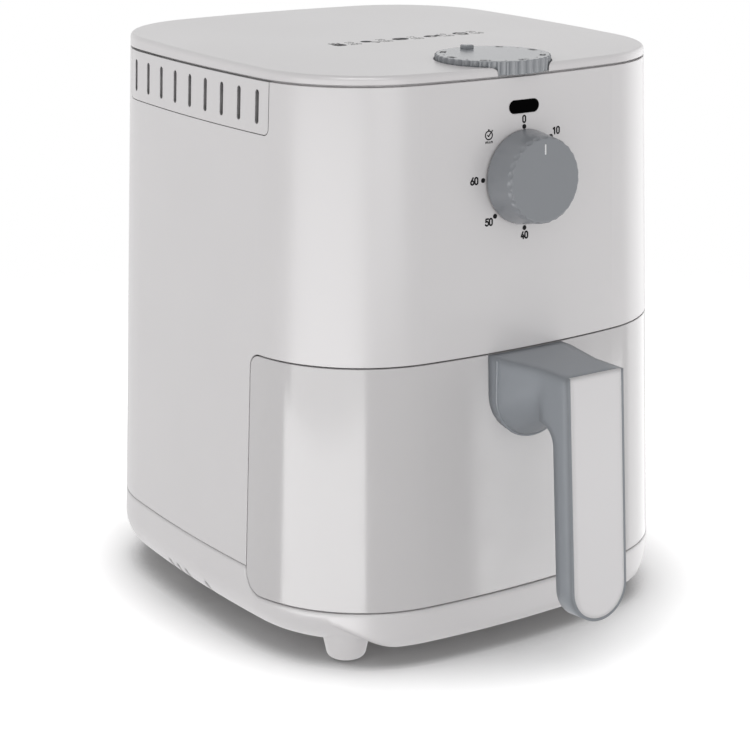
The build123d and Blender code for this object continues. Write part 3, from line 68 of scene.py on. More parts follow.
# Middle of the row of symbols on the lid, and size and place of the numbers beside each symbol
LID_MARKS_AT = (0.0015, -0.0035, 0)
LID_NUMBER_H = 0.0036
LID_NUMBER_X = 0.0085
# Front edge of the handle's collar: straight sides above a half circle, this far out from the wall
COLLAR_HALF_W = 0.0227
COLLAR_LOW_Z = 0.1107
COLLAR_TOP_Z = 0.153
COLLAR_DEPTH = 0.007
# The ridge on that edge: its radius, and how far below the collar's top it ends
RIDGE_R = 0.0008
RIDGE_SHORT = 0.0015
# From the wall to the face of the timer knob, and how far the scale sits below its middle
KNOB_REACH = 0.0162
SCALE_DROP = 0.0003
# Radius of the ring of numbers on the dial
DIAL_MARK_R = 0.0243
DIAL_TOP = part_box("temp_dial")[1].z
DIAL_Y = (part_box("temp_dial")[0].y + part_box("temp_dial")[1].y) / 2
TIMER_Z = next(joint for joint in frame["joints"] if joint["name"] == "timer_turn")["pos_m"][2]
# Corners round a line of ink, and the floor's rings and sectors
BEAD_SIDES = 8
FLOOR_RINGS = 13
FLOOR_SECTORS = 48


class FinishSettings(bpy.types.PropertyGroup):
    """Colours and gloss of the moulded and metal pieces."""

    housing: FloatVectorProperty(
        name="Housing", description="Satin plastic of shell, lid and base",
        subtype="COLOR", size=3, min=0, max=1, default=(0.62, 0.603, 0.608))
    drawer: FloatVectorProperty(
        name="Drawer front", description="Polished plastic of the drawer front",
        subtype="COLOR", size=3, min=0, max=1, default=(0.555, 0.540, 0.544))
    plate: FloatVectorProperty(
        name="Grip plate", description="Pale plate on the front of the grip",
        subtype="COLOR", size=3, min=0, max=1, default=(0.70, 0.686, 0.694))
    grey: FloatVectorProperty(
        name="Controls", description="Blue-grey plastic of knob and dial",
        subtype="COLOR", size=3, min=0, max=1, default=(0.228, 0.239, 0.256))
    handle: FloatVectorProperty(
        name="Handle", description="Blue-grey plastic of the drawer's handle",
        subtype="COLOR", size=3, min=0, max=1, default=(0.25, 0.268, 0.292))
    ink: FloatVectorProperty(
        name="Ink", description="Printed scales and symbols",
        subtype="COLOR", size=3, min=0, max=1, default=(0.012, 0.012, 0.013))
    housing_roughness: FloatProperty(
        name="Housing roughness", description="Blur of reflections on the satin plastic",
        subtype="FACTOR", min=0, max=1, default=0.30)
    housing_ior: FloatProperty(
        name="Housing gloss", description="Refractive index that sets how strongly the satin plastic mirrors",
        min=1, max=3, default=1.85)
    drawer_roughness: FloatProperty(
        name="Drawer roughness", description="Blur of reflections on the polished front",
        subtype="FACTOR", min=0, max=1, default=0.14)


class MarkSettings(bpy.types.PropertyGroup):
    """Sizes of the printed marks."""

    scale_radius: FloatProperty(
        name="Timer dots", description="Radius of the ring of dots round the timer knob",
        subtype="DISTANCE", unit="LENGTH", min=0.02, max=0.04, default=0.0245)
    number_radius: FloatProperty(
        name="Timer numbers", description="Radius of the ring of numbers round the timer knob",
        subtype="DISTANCE", unit="LENGTH", min=0.02, max=0.05, default=0.0281)
    number_height: FloatProperty(
        name="Number height", description="Height of the timer numbers",
        subtype="DISTANCE", unit="LENGTH", min=0.001, max=0.01, default=0.0032)
    dial_number_height: FloatProperty(
        name="Dial number height", description="Height of the temperature numbers",
        subtype="DISTANCE", unit="LENGTH", min=0.001, max=0.01, default=0.0026)
    symbol_size: FloatProperty(
        name="Lid symbols", description="Width of one food symbol on the lid",
        subtype="DISTANCE", unit="LENGTH", min=0.002, max=0.03, default=0.0085)
    symbol_pitch: FloatProperty(
        name="Symbol spacing", description="From one food symbol to the next",
        subtype="DISTANCE", unit="LENGTH", min=0.005, max=0.05, default=0.0193)
    first_angle: FloatProperty(
        name="First step", description="Turn of the knob from zero to the first mark",
        subtype="ANGLE", unit="ROTATION", default=math.radians(42.5))
    step_angle: FloatProperty(
        name="Further steps", description="Turn of the knob from one mark to the next",
        subtype="ANGLE", unit="ROTATION", default=math.radians(46))
    steps: IntProperty(
        name="Steps", description="Marks on the timer scale after zero", min=1, max=9, default=6)


class StudioSettings(bpy.types.PropertyGroup):
    """Camera and lamps."""

    camera_place: FloatVectorProperty(
        name="Camera", description="Where the camera stands",
        subtype="XYZ", unit="LENGTH", size=3, default=(-0.6108, -0.8786, 0.4317))
    camera_yaw: FloatProperty(
        name="Yaw", description="Turn of the camera to the right of straight on",
        subtype="ANGLE", unit="ROTATION", default=math.radians(-34.28))
    camera_pitch: FloatProperty(
        name="Pitch", description="How far the camera looks down",
        subtype="ANGLE", unit="ROTATION", default=math.radians(16.68))
    lens: FloatProperty(
        name="Lens", description="Focal length in millimetres",
        min=10, max=300, default=99.18)
    left_panel: FloatProperty(
        name="Left panel", description="Brightness of the left softbox",
        min=0, default=1.72)
    near_panel: FloatProperty(
        name="Near panel", description="Brightness of the softbox beside the camera",
        min=0, default=1.03)
    rim_panel: FloatProperty(
        name="Rim panel", description="Brightness of the high softbox to the front left",
        min=0, default=3.0)
    left_card: FloatProperty(
        name="Left card", description="Brightness of the card below the left softbox",
        min=0, default=3.2)
    front_card: FloatProperty(
        name="Front card", description="Brightness of the low card to the front right",
        min=0, default=2.3)
    edge_panel: FloatProperty(
        name="Edge panel", description="Brightness of the softbox to the rear right",
        min=0, default=1.0)
    fill_panel: FloatProperty(
        name="Fill panel", description="Brightness of the softbox that evens out the left side",
        min=0, default=0.3)
    ambient: FloatProperty(
        name="Ambient", description="Even light from all round",
        min=0, default=0.975)
    floor: FloatVectorProperty(
        name="Floor", description="Colour of the floor",
        subtype="COLOR", size=3, min=0, max=2, default=(1.25, 1.25, 1.25))


def settings():
    """The three groups of settings that the operators read."""
    scene = bpy.context.scene
    return scene.fryer_finish, scene.fryer_marks, scene.fryer_studio


# Finishes


def open_material(name):
    """A new node material, its tree and its main shader."""
    material = bpy.data.materials.new(name)
    material.use_nodes = True
    tree = material.node_tree
    return material, tree, tree.nodes["Principled BSDF"]


def join(tree, source, target):
    """Links two sockets."""
    tree.links.new(source, target)


def noise(tree, scale, detail=2.0, stretch=(1, 1, 1)):
    """Noise on object coordinates, stretched where a finish has a direction."""
    place = tree.nodes.new("ShaderNodeTexCoord")
    mapping = tree.nodes.new("ShaderNodeMapping")
    mapping.inputs["Scale"].default_value = stretch
    texture = tree.nodes.new("ShaderNodeTexNoise")
    texture.inputs["Scale"].default_value = scale
    texture.inputs["Detail"].default_value = detail
    join(tree, place.outputs["Object"], mapping.inputs["Vector"])
    join(tree, mapping.outputs["Vector"], texture.inputs["Vector"])
    return texture.outputs["Fac"]


def spread(tree, value, low, high):
    """Maps a noise value, which lies mostly between 0.25 and 0.75, to a range."""
    node = tree.nodes.new("ShaderNodeMapRange")
    node.interpolation_type = "SMOOTHSTEP"
    node.inputs["From Min"].default_value = 0.25
    node.inputs["From Max"].default_value = 0.75
    node.inputs["To Min"].default_value = low
    node.inputs["To Max"].default_value = high
    join(tree, value, node.inputs["Value"])
    return node.outputs["Result"]


def blend_colour(tree, value, low, high):
    """Colour between two tones, by a noise value."""
    ramp = tree.nodes.new("ShaderNodeValToRGB")
    ramp.color_ramp.interpolation = "EASE"
    ramp.color_ramp.elements[0].position = 0.25
    ramp.color_ramp.elements[0].color = (*low, 1)
    ramp.color_ramp.elements[1].position = 0.75
    ramp.color_ramp.elements[1].color = (*high, 1)
    join(tree, value, ramp.inputs["Fac"])
    return ramp.outputs["Color"]


def tones(colour, amount):
    """A darker and a lighter tone of a colour."""
    return [c * (1 - amount) for c in colour], [min(1.0, c * (1 + amount)) for c in colour]


def relief(tree, shader, height, depth, edge):
    """Surface texture of a given depth in metres over rounded moulded or broken edges."""
    bump = tree.nodes.new("ShaderNodeBump")
    bump.inputs["Strength"].default_value = 1.0
    bump.inputs["Distance"].default_value = depth
    join(tree, height, bump.inputs["Height"])
    if edge:
        round_edge = tree.nodes.new("ShaderNodeBevel")
        round_edge.samples = 6
        round_edge.inputs["Radius"].default_value = edge
        join(tree, round_edge.outputs["Normal"], bump.inputs["Normal"])
    join(tree, bump.outputs["Normal"], shader.inputs["Normal"])


def moulded(name, colour, roughness, grain=1800, depth=2e-5, mottle=0.012, edge=5e-4, ior=1.49):
    """Moulded plastic: fine spark texture, slow drift of tone and gloss."""
    material, tree, shader = open_material(name)
    drift = noise(tree, 14)
    low, high = tones(colour, mottle)
    join(tree, blend_colour(tree, drift, low, high), shader.inputs["Base Color"])
    join(tree, spread(tree, drift, roughness * 0.93, roughness * 1.07), shader.inputs["Roughness"])
    shader.inputs["IOR"].default_value = ior
    relief(tree, shader, noise(tree, grain, 3), depth, edge)
    return material


def slotted(name, colour, roughness, ior):
    """Moulded plastic with a slotted grille: painted shade in the slots, darker where the face is hemmed in.
    """
    material = moulded(name, colour, roughness, ior=ior)
    tree = material.node_tree
    shader = tree.nodes["Principled BSDF"]
    unshaded_colour = shader.inputs["Base Color"].links[0].from_socket
    # Painted shade: ambient occlusion darkens the base colour towards the grey below on the hemmed-in slot
    # walls
    occlusion_shade = tree.nodes.new("ShaderNodeAmbientOcclusion")
    occlusion_shade.samples = 8
    occlusion_shade.inputs["Distance"].default_value = 0.006
    fade = tree.nodes.new("ShaderNodeMapRange")
    fade.inputs["From Min"].default_value = 0.55
    fade.inputs["From Max"].default_value = 0.9
    join(tree, occlusion_shade.outputs["AO"], fade.inputs["Value"])
    tint = tree.nodes.new("ShaderNodeMix")
    tint.data_type = "RGBA"
    tint.inputs["A"].default_value = (0.2, 0.2, 0.2, 1)
    join(tree, fade.outputs["Result"], tint.inputs["Factor"])
    join(tree, unshaded_colour, tint.inputs["B"])
    join(tree, tint.outputs["Result"], shader.inputs["Base Color"])
    return material


def polished(name, colour, roughness, ior=1.5):
    """Polished plastic: a slow waviness of the moulded face, small changes of gloss."""
    material, tree, shader = open_material(name)
    drift = noise(tree, 9)
    low, high = tones(colour, 0.008)
    join(tree, blend_colour(tree, drift, low, high), shader.inputs["Base Color"])
    join(tree, spread(tree, noise(tree, 60), roughness * 0.85, roughness * 1.15), shader.inputs["Roughness"])
    shader.inputs["IOR"].default_value = ior
    relief(tree, shader, noise(tree, 22, 1), 6e-6, 6e-4)
    return material


def brushed(name, colour, roughness, stretch, edge=3e-4):
    """Rolled or turned metal: fine lines along one direction, faint stains."""
    material, tree, shader = open_material(name)
    low, high = tones(colour, 0.09)
    join(tree, blend_colour(tree, noise(tree, 26, 4), low, high), shader.inputs["Base Color"])
    lines = noise(tree, 900, 3, stretch)
    join(tree, spread(tree, lines, roughness * 0.75, roughness * 1.25), shader.inputs["Roughness"])
    shader.inputs["Metallic"].default_value = 1.0
    relief(tree, shader, lines, 1.2e-5, edge)
    return material


def stained(name, low, high, roughness, metallic, scale=45, depth=3e-5):
    """Heat-stained, fired or tarnished surface: patches of two tones with a grainy face."""
    material, tree, shader = open_material(name)
    patches = noise(tree, scale, 5)
    join(tree, blend_colour(tree, patches, low, high), shader.inputs["Base Color"])
    join(tree, spread(tree, patches, roughness * 0.8, roughness * 1.15), shader.inputs["Roughness"])
    shader.inputs["Metallic"].default_value = metallic
    relief(tree, shader, noise(tree, 1100, 3), depth, 3e-4)
    return material


def speckled(name, colour, fleck, roughness):
    """Non-stick coating: dark sprayed film with pale flecks."""
    material, tree, shader = open_material(name)
    place = tree.nodes.new("ShaderNodeTexCoord")
    cells = tree.nodes.new("ShaderNodeTexVoronoi")
    cells.inputs["Scale"].default_value = 420
    join(tree, place.outputs["Object"], cells.inputs["Vector"])
    ramp = tree.nodes.new("ShaderNodeValToRGB")
    ramp.color_ramp.elements[0].position = 0.07
    ramp.color_ramp.elements[0].color = (*fleck, 1)
    ramp.color_ramp.elements[1].position = 0.16
    ramp.color_ramp.elements[1].color = (*colour, 1)
    join(tree, cells.outputs["Distance"], ramp.inputs["Fac"])
    join(tree, ramp.outputs["Color"], shader.inputs["Base Color"])
    join(tree, spread(tree, noise(tree, 120), roughness * 0.85, roughness * 1.15), shader.inputs["Roughness"])
    relief(tree, shader, noise(tree, 700, 4), 2.5e-5, 4e-4)
    return material


def coat(material, *nodes):
    """Gives solid pieces a finish in place of the plain one they came with."""
    for node in nodes:
        mesh = frame["nodes"][node].data
        mesh.materials.clear()
        mesh.materials.append(material)


# Printed marks: beads of ink along flat lines


def bead(path, half_width, rise, closed=False):
    """Low rounded line of ink along a flat path.

    Across the path the surface is an ellipse, half_width to each side and rise high. Past an
    open end the ellipse shrinks with the cosine of a quarter turn and moves on with its sine.
    """
    path = np.asarray(path, float)
    if closed:
        tangent = np.roll(path, -1, 0) - np.roll(path, 1, 0)
        line, lead, swell = path, np.zeros(len(path)), np.ones(len(path))
    else:
        tangent = np.gradient(path, axis=0)
        turn = np.linspace(1.3, 0.0, 4)[:3]
        line = np.concatenate([np.repeat(path[:1], 3, 0), path, np.repeat(path[-1:], 3, 0)])
        tangent = np.concatenate([np.repeat(tangent[:1], 3, 0), tangent, np.repeat(tangent[-1:], 3, 0)])
        middle = np.zeros(len(path))
        lead = half_width * np.concatenate([-np.sin(turn), middle, np.sin(turn[::-1])])
        swell = np.concatenate([np.cos(turn), middle + 1, np.cos(turn[::-1])])
    tangent = tangent / np.maximum(np.linalg.norm(tangent, axis=1), 1e-12)[:, None]
    side = np.stack([-tangent[:, 1], tangent[:, 0]], 1)
    around = np.linspace(0, 2 * math.pi, BEAD_SIDES, endpoint=False)
    across = half_width * swell[:, None] * np.cos(around)
    flat = (line + lead[:, None] * tangent)[:, None, :] + across[:, :, None] * side[:, None, :]
    height = rise * swell[:, None] * np.sin(around)
    points = np.concatenate([flat, height[:, :, None]], 2).reshape(-1, 3)
    rings = len(line)
    first = np.arange(rings if closed else rings - 1)
    ring_at, spoke = np.meshgrid(first, np.arange(BEAD_SIDES), indexing="ij")
    here, after = ring_at * BEAD_SIDES, (ring_at + 1) % rings * BEAD_SIDES
    beside = (spoke + 1) % BEAD_SIDES
    quads = np.stack([here + spoke, here + beside, after + beside, after + spoke], 2)
    faces = quads.reshape(-1, 4).tolist()
    if not closed:
        faces.append(list(range(BEAD_SIDES - 1, -1, -1)))
        faces.append(list(range((rings - 1) * BEAD_SIDES, rings * BEAD_SIDES)))
    return points, faces


def beads(lines, half_width, rise):
    """Several ink lines as one set of points and faces. A line is (path, closed) or (path, closed, width)."""
    points, faces, start = [], [], 0
    for path, closed, *width in lines:
        made, sides = bead(path, width[0] if width else half_width, rise, closed)
        points.append(made)
        faces += [[start + corner for corner in face] for face in sides]
        start += len(made)
    return np.concatenate(points), faces


def arc(x, y, across, up, begin, end, count=18):
    """Points on an ellipse about (x, y), from one angle in degrees to another."""
    turn = np.radians(np.linspace(begin, end, count))
    return np.stack([x + across * np.cos(turn), y + up * np.sin(turn)], 1)


def ring(x, y, across, up, count=24):
    """A closed ellipse about (x, y)."""
    return arc(x, y, across, up, 0, 360 - 360 / count, count), True


def dot(x, y, radius):
    """A round spot: a line of almost no length, as wide as the spot."""
    return np.array([(x - radius * 0.02, y), (x + radius * 0.02, y)]), False, radius


def run(*corners):
    """Straight runs from corner to corner, each with inner points so that bends stay crisp."""
    corners = np.array(corners, float)
    share = np.linspace(0, 1, 5)[:, None]
    pieces = [a + (b - a) * share for a, b in zip(corners[:-1], corners[1:])]
    return np.concatenate([pieces[0]] + [piece[1:] for piece in pieces[1:]]), False


def digit_lines(digit):
    """Strokes of one numeral in a box one unit high and about half a unit wide."""
    return {
        "0": [(np.concatenate([arc(0.27, 0.72, 0.25, 0.28, 0, 180),
                               arc(0.27, 0.28, 0.25, 0.28, 180, 360)]), True)],
        "1": [run((0.06, 0.76), (0.3, 1.0), (0.3, 0.0))],
        "2": [(np.concatenate([arc(0.27, 0.73, 0.26, 0.27, 165, -35),
                               run((0.42, 0.5), (0.02, 0.0))[0]]), False),
              run((0.02, 0.0), (0.54, 0.0))],
        "3": [(arc(0.25, 0.745, 0.245, 0.255, 150, -85), False),
              (arc(0.25, 0.265, 0.28, 0.265, 85, -150), False)],
        "4": [run((0.34, 1.0), (0.0, 0.27), (0.56, 0.27)), run((0.4, 0.5), (0.4, 0.0))],
        "5": [run((0.5, 1.0), (0.1, 1.0), (0.06, 0.56)), (arc(0.25, 0.31, 0.28, 0.31, 128, -150), False)],
        "6": [run((0.4, 1.0), (0.04, 0.42)), ring(0.27, 0.28, 0.26, 0.28)],
        "7": [run((0.02, 1.0), (0.52, 1.0), (0.18, 0.0))],
        "8": [ring(0.27, 0.76, 0.22, 0.24), ring(0.27, 0.27, 0.27, 0.27)],
        "9": [run((0.14, 0.0), (0.5, 0.58)), ring(0.27, 0.72, 0.26, 0.28)],
    }[digit]


def number_lines(text, height):
    """Strokes of a number, centred on its own middle."""
    width = len(text) * 0.7 - 0.16
    lines = []
    for place, digit in enumerate(text):
        offset = np.array([place * 0.7 - width / 2, -0.5])
        lines += [((path + offset) * height, closed) for path, closed in digit_lines(digit)]
    return lines


def shifted(lines, x, y, turn=0.0, scale=1.0):
    """Lines scaled, turned about their own zero and moved to (x, y)."""
    spin = np.array([[math.cos(turn), math.sin(turn)], [-math.sin(turn), math.cos(turn)]])
    return [(path @ spin * scale + (x, y), closed, *[w * scale for w in width])
            for path, closed, *width in lines]


def front_wall_y(z):
    """Place of the front wall's middle line at a height: the bow's middle less its radius there."""
    return WALL_BOW_Y - (WALL_BOW_R - z * math.tan(WALL_DRAFT))


def on_front_wall(points):
    """Flat mark on the leaning bowed wall: right is X, up is Z, height stands out from the cone."""
    x, up, height = points.T
    z = TIMER_Z + up
    y = WALL_BOW_Y - np.sqrt((WALL_BOW_R - z * math.tan(WALL_DRAFT)) ** 2 - x ** 2) - height
    return np.stack([x, y, z], 1)


def on_lid(points):
    """Flat mark on the leaning top of the lid."""
    x, y, height = points.T
    return np.stack([x, y, LID_REAR_Z + (y - LID_REAR_Y) * math.tan(LID_LEAN) + height], 1)


def piece(name, points, faces, material, body, slot=None):
    """Puts points and faces into a mesh object that moves with a body."""
    mesh = bpy.data.meshes.new(name)
    mesh.from_pydata(points.tolist(), [], faces)
    mesh.shade_smooth()
    mesh.materials.append(material)
    made = bpy.data.objects.new(name, mesh)
    bpy.context.scene.collection.objects.link(made)
    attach(made, body)
    return made


def ink(name, colour):
    """Pad-printed ink: slightly uneven film with a soft gloss."""
    return moulded(name, colour, 0.45, grain=2600, depth=6e-6, mottle=0.08, edge=0, ior=1.15)


class FRYER_OT_finish_housing(bpy.types.Operator):
    """Satin plastic for shell, base, lid, vent panels and outlet hood"""

    bl_idname = "fryer.finish_housing"
    bl_label = "Finish housing"

    def execute(self, context):
        finish = settings()[0]
        satin = {"colour": finish.housing, "roughness": finish.housing_roughness, "ior": finish.housing_ior}
        coat(moulded("housing_satin", **satin), "outer_shell", "top_cover", "outlet_hood")
        coat(moulded("base_satin", **satin, edge=4e-3), "base_tray")
        # Vent panels: satin plastic with painted shade in their slots
        coat(slotted("vent_satin", **satin), "vent_panel_left", "vent_panel_right")
        coat(moulded("foot_rubber", (0.05, 0.05, 0.052), 0.75, grain=900, depth=5e-5, mottle=0.1),
             "foot_pads", "cord_gland", "grid_bumpers")
        return {"FINISHED"}


class FRYER_OT_finish_drawer(bpy.types.Operator):
    """Polished drawer front, grey handle with its pale plate, coated pan and grid"""

    bl_idname = "fryer.finish_drawer"
    bl_label = "Finish drawer"

    def execute(self, context):
        finish = settings()[0]
        coat(polished("drawer_gloss", finish.drawer, finish.drawer_roughness, ior=1.7), "drawer_front")
        coat(moulded("handle_grey", finish.handle, 0.36, edge=8e-3), "handle_bracket")
        coat(moulded("plate_satin", finish.plate, 0.3, depth=1.2e-5, edge=4e-3), "handle_cover")
        for node in ("handle_bracket", "handle_cover"):
            frame["nodes"][node].visible_glossy = False
        coat(speckled("pan_coating", (0.035, 0.035, 0.037), (0.16, 0.16, 0.165), 0.42), "pan", "crisper_grid")
        return {"FINISHED"}


class FRYER_OT_finish_controls(bpy.types.Operator):
    """Blue-grey knob, dial and tab, black window over its lamp"""

    bl_idname = "fryer.finish_controls"
    bl_label = "Finish controls"

    def execute(self, context):
        finish = settings()[0]
        coat(moulded("control_grey", finish.grey, 0.25, edge=8e-4), "timer_knob")
        coat(moulded("dial_grey", finish.grey, 0.22, edge=6e-4, ior=1.75), "temp_dial", "dial_tab")
        coat(polished("window_black", (0.0008, 0.0008, 0.0008), 0.06, ior=1.06), "indicator_lens")
        coat(moulded("lamp_amber", (0.7, 0.22, 0.03), 0.2), "indicator_lamp")
        return {"FINISHED"}


class FRYER_OT_finish_inside(bpy.types.Operator):
    """Sheet metal, works and fittings inside the housing"""

    bl_idname = "fryer.finish_inside"
    bl_label = "Finish inside"

    def execute(self, context):
        coat(brushed("rolled_sheet", (0.55, 0.55, 0.54), 0.42, (0.04, 1, 1)),
             "pan_bay", "heat_chamber", "air_duct", "motor_bracket", "thermostat_bracket", "element_guard")
        coat(brushed("spring_clip", (0.48, 0.47, 0.45), 0.38, (1, 1, 0.05)), "element_clips")
        coat(brushed("turned_steel", (0.52, 0.52, 0.52), 0.3, (0.1, 0.1, 1)),
             "base_screws", "timer_screws", "handle_screws", "motor_screws", "timer_spindle", "dial_spindle",
             "motor_shaft", "fan_nut", "timer_bell")
        coat(brushed("pressed_aluminium", (0.72, 0.72, 0.72), 0.34, (1, 0.05, 1)), "hot_fan")
        coat(stained("element_sheath", (0.05, 0.042, 0.038), (0.13, 0.115, 0.1), 0.55, 0.6),
             "heating_element")
        coat(stained("copper_tube", (0.5, 0.22, 0.11), (0.72, 0.4, 0.25), 0.32, 1.0, 160),
             "thermostat_capillary")
        coat(stained("fired_ceramic", (0.66, 0.63, 0.57), (0.76, 0.73, 0.68), 0.7, 0.0, 220),
             "element_bushings", "thermal_fuse")
        coat(stained("motor_case", (0.16, 0.16, 0.17), (0.24, 0.24, 0.25), 0.45, 0.8, 30), "motor")
        coat(moulded("dark_moulding", (0.045, 0.045, 0.047), 0.5, mottle=0.06),
             "timer_body", "thermostat_body", "drawer_switch", "switch_plunger", "terminal_block",
             "cooling_fan", "pan_support", "drawer_rails")
        return {"FINISHED"}


class FRYER_OT_print_timer_scale(bpy.types.Operator):
    """Dots and numbers round the timer knob, with a small stopwatch sign"""

    bl_idname = "fryer.print_timer_scale"
    bl_label = "Print timer scale"

    def execute(self, context):
        finish, marks = settings()[:2]
        lines = []
        for step in range(marks.steps + 1):
            turn = marks.first_angle + (step - 1) * marks.step_angle if step else 0.0
            x, y = math.sin(turn), math.cos(turn)
            lines.append(dot(marks.scale_radius * x, marks.scale_radius * y, 0.0012))
            number = number_lines(str(step * 10), marks.number_height)
            lines += shifted(number, marks.number_radius * 1.05 * x, marks.number_radius * y)
        watch = [
            (*ring(0, 0, 0.0020, 0.0020), 0.0003),
            (*run((0, 0.0021), (0, 0.0026)), 0.0004),
            (*run((-0.0007, 0.0001), (-0.0002, -0.0006), (0.0010, 0.0010)), 0.0003),
            (*run((0.0016, 0.0016), (0.0021, 0.0021)), 0.0003),
        ]
        for x in (-0.0019, -0.0012, -0.0005, 0.0003, 0.0011, 0.0019):
            watch.append((*run((x, -0.0037), (x, -0.0030)), 0.0002))
        for begin, end in ((-0.0019, -0.0005), (0.0011, 0.0019)):
            watch.append((*run((begin, -0.0030), (end, -0.0030)), 0.0002))
        lines += shifted(watch, -0.0209, 0.0222)
        points, faces = beads(lines, half_width=0.00042, rise=0.00007)
        points = on_front_wall(points - (0, SCALE_DROP, 0))
        piece("timer_scale", points, faces, ink("scale_ink", finish.ink), "housing")
        return {"FINISHED"}


class FRYER_OT_print_pointer(bpy.types.Operator):
    """Pale pointer line on the face of the timer knob"""

    bl_idname = "fryer.print_pointer"
    bl_label = "Print pointer"

    def execute(self, context):
        points, faces = beads([run((0, 0.0128), (0, 0.0170))], half_width=0.00042, rise=0.00008)
        x, up, height = points.T
        out = KNOB_REACH + height
        y = front_wall_y(TIMER_Z) - out * math.cos(WALL_DRAFT) + up * math.sin(WALL_DRAFT)
        z = TIMER_Z + out * math.sin(WALL_DRAFT) + up * math.cos(WALL_DRAFT)
        pale = ink("pointer_ink", (0.78, 0.78, 0.78))
        piece("knob_pointer", np.stack([x, y, z], 1), faces, pale, "timer", "pale_plate")
        return {"FINISHED"}


class FRYER_OT_add_ridge(bpy.types.Operator):
    """Moulded ridge along the front edge of the handle's collar"""

    bl_idname = "fryer.add_ridge"
    bl_label = "Add collar ridge"

    def execute(self, context):
        finish = settings()[0]
        bend_z = COLLAR_LOW_Z + COLLAR_HALF_W
        down = np.linspace(COLLAR_TOP_Z - RIDGE_SHORT, bend_z, 9)[:-1]
        left = np.stack([down * 0 - COLLAR_HALF_W, down], 1)
        bend = arc(0, bend_z, COLLAR_HALF_W, COLLAR_HALF_W, 180, 360, 33)
        path = np.concatenate([left, bend, (left * (-1, 1))[::-1]])
        points, faces = beads([(path, False)], RIDGE_R, RIDGE_R)
        x, z, height = points.T
        made = np.stack([x, front_wall_y(COLLAR_TOP_Z) - COLLAR_DEPTH - height, z], 1)
        grey = moulded("ridge_grey", finish.handle, 0.24, edge=0)
        ridge = piece("collar_ridge", made, faces, grey, "drawer", "grey_plastic")
        ridge.visible_glossy = False
        return {"FINISHED"}


class FRYER_OT_print_dial(bpy.types.Operator):
    """Temperature numbers round the rim of the dial on the lid"""

    bl_idname = "fryer.print_dial"
    bl_label = "Print dial"

    def execute(self, context):
        finish, marks = settings()[:2]
        lines = []
        for place, text in enumerate(("80", "100", "120", "140", "160", "180", "200")):
            turn = math.radians(45 + place * 45)
            x, y = DIAL_MARK_R * math.sin(turn), DIAL_MARK_R * math.cos(turn)
            lines += shifted(number_lines(text, marks.dial_number_height), x, y, -turn)
            if place < 6:
                half = turn + math.radians(22.5)
                lines.append(dot(DIAL_MARK_R * math.sin(half), DIAL_MARK_R * math.cos(half), 0.0005))
        points, faces = beads(lines, half_width=0.00026, rise=0.00006)
        points = points + (0, DIAL_Y, DIAL_TOP)
        piece("dial_numbers", points, faces, ink("dial_ink", finish.ink), "dial")
        return {"FINISHED"}


class FRYER_OT_print_lid(bpy.types.Operator):
    """Row of food symbols with cooking numbers on the lid"""

    bl_idname = "fryer.print_lid"
    bl_label = "Print lid"

    def execute(self, context):
        finish, marks = settings()[:2]
        chips = [run((-0.32, 0.0), (-0.24, -0.5), (0.24, -0.5), (0.32, 0.0), (-0.32, 0.0)),
                 (*run((-0.22, 0.05), (-0.28, 0.5)), 0.08), (*run((0.0, 0.05), (0.0, 0.56)), 0.08),
                 (*run((0.22, 0.05), (0.28, 0.46)), 0.08), (*run((-0.2, -0.25), (0.2, -0.25)), 0.22)]
        leg = [dot(-0.14, 0.14, 0.34), (*run((0.0, 0.0), (0.34, -0.36)), 0.1),
               dot(0.42, -0.36, 0.11), dot(0.34, -0.45, 0.11)]
        steak = [ring(0.0, 0.0, 0.46, 0.34), (*run((-0.16, 0.0), (0.2, 0.0)), 0.2)]
        fish = [(arc(0.0, -0.3, 0.5, 0.56, 35, 145), False), (arc(0.0, 0.3, 0.5, 0.56, -35, -145), False),
                run((0.38, 0.04), (0.56, 0.24), (0.56, -0.24), (0.38, -0.04)), dot(-0.2, 0.0, 0.17)]
        bun = [(arc(0.0, 0.0, 0.42, 0.42, 0, 180), False), run((-0.42, 0.0), (0.42, 0.0)),
               run((-0.3, -0.06), (-0.22, -0.46), (0.22, -0.46), (0.3, -0.06)), dot(0.0, 0.46, 0.09)]
        symbols = ((chips, "15", "200"), (leg, "25", "180"), (steak, "12", "180"),
                   (fish, "10", "160"), (bun, "20", "160"))
        lines, numbers = [], []
        for place, (symbol, minutes, degrees) in enumerate(symbols):
            x = (place - 2) * marks.symbol_pitch
            lines += [(path, closed, *(width or [0.0008])) for path, closed, *width in
                      shifted(symbol, x, 0, 0, marks.symbol_size)]
            for text, y in ((minutes, 0.0026), (degrees, -0.0030)):
                numbers += shifted(number_lines(text, LID_NUMBER_H), x + LID_NUMBER_X, y)
        points, faces = beads(numbers, half_width=0.00026, rise=0.00006)
        points = on_lid(points + LID_MARKS_AT)
        piece("lid_numbers", points, faces, ink("lid_grey_ink", (0.2, 0.2, 0.2)), "housing")
        points, faces = beads(lines, half_width=0.0003, rise=0.00006)
        points = on_lid(points + LID_MARKS_AT)
        piece("lid_symbols", points, faces, ink("lid_ink", finish.ink), "housing")
        return {"FINISHED"}


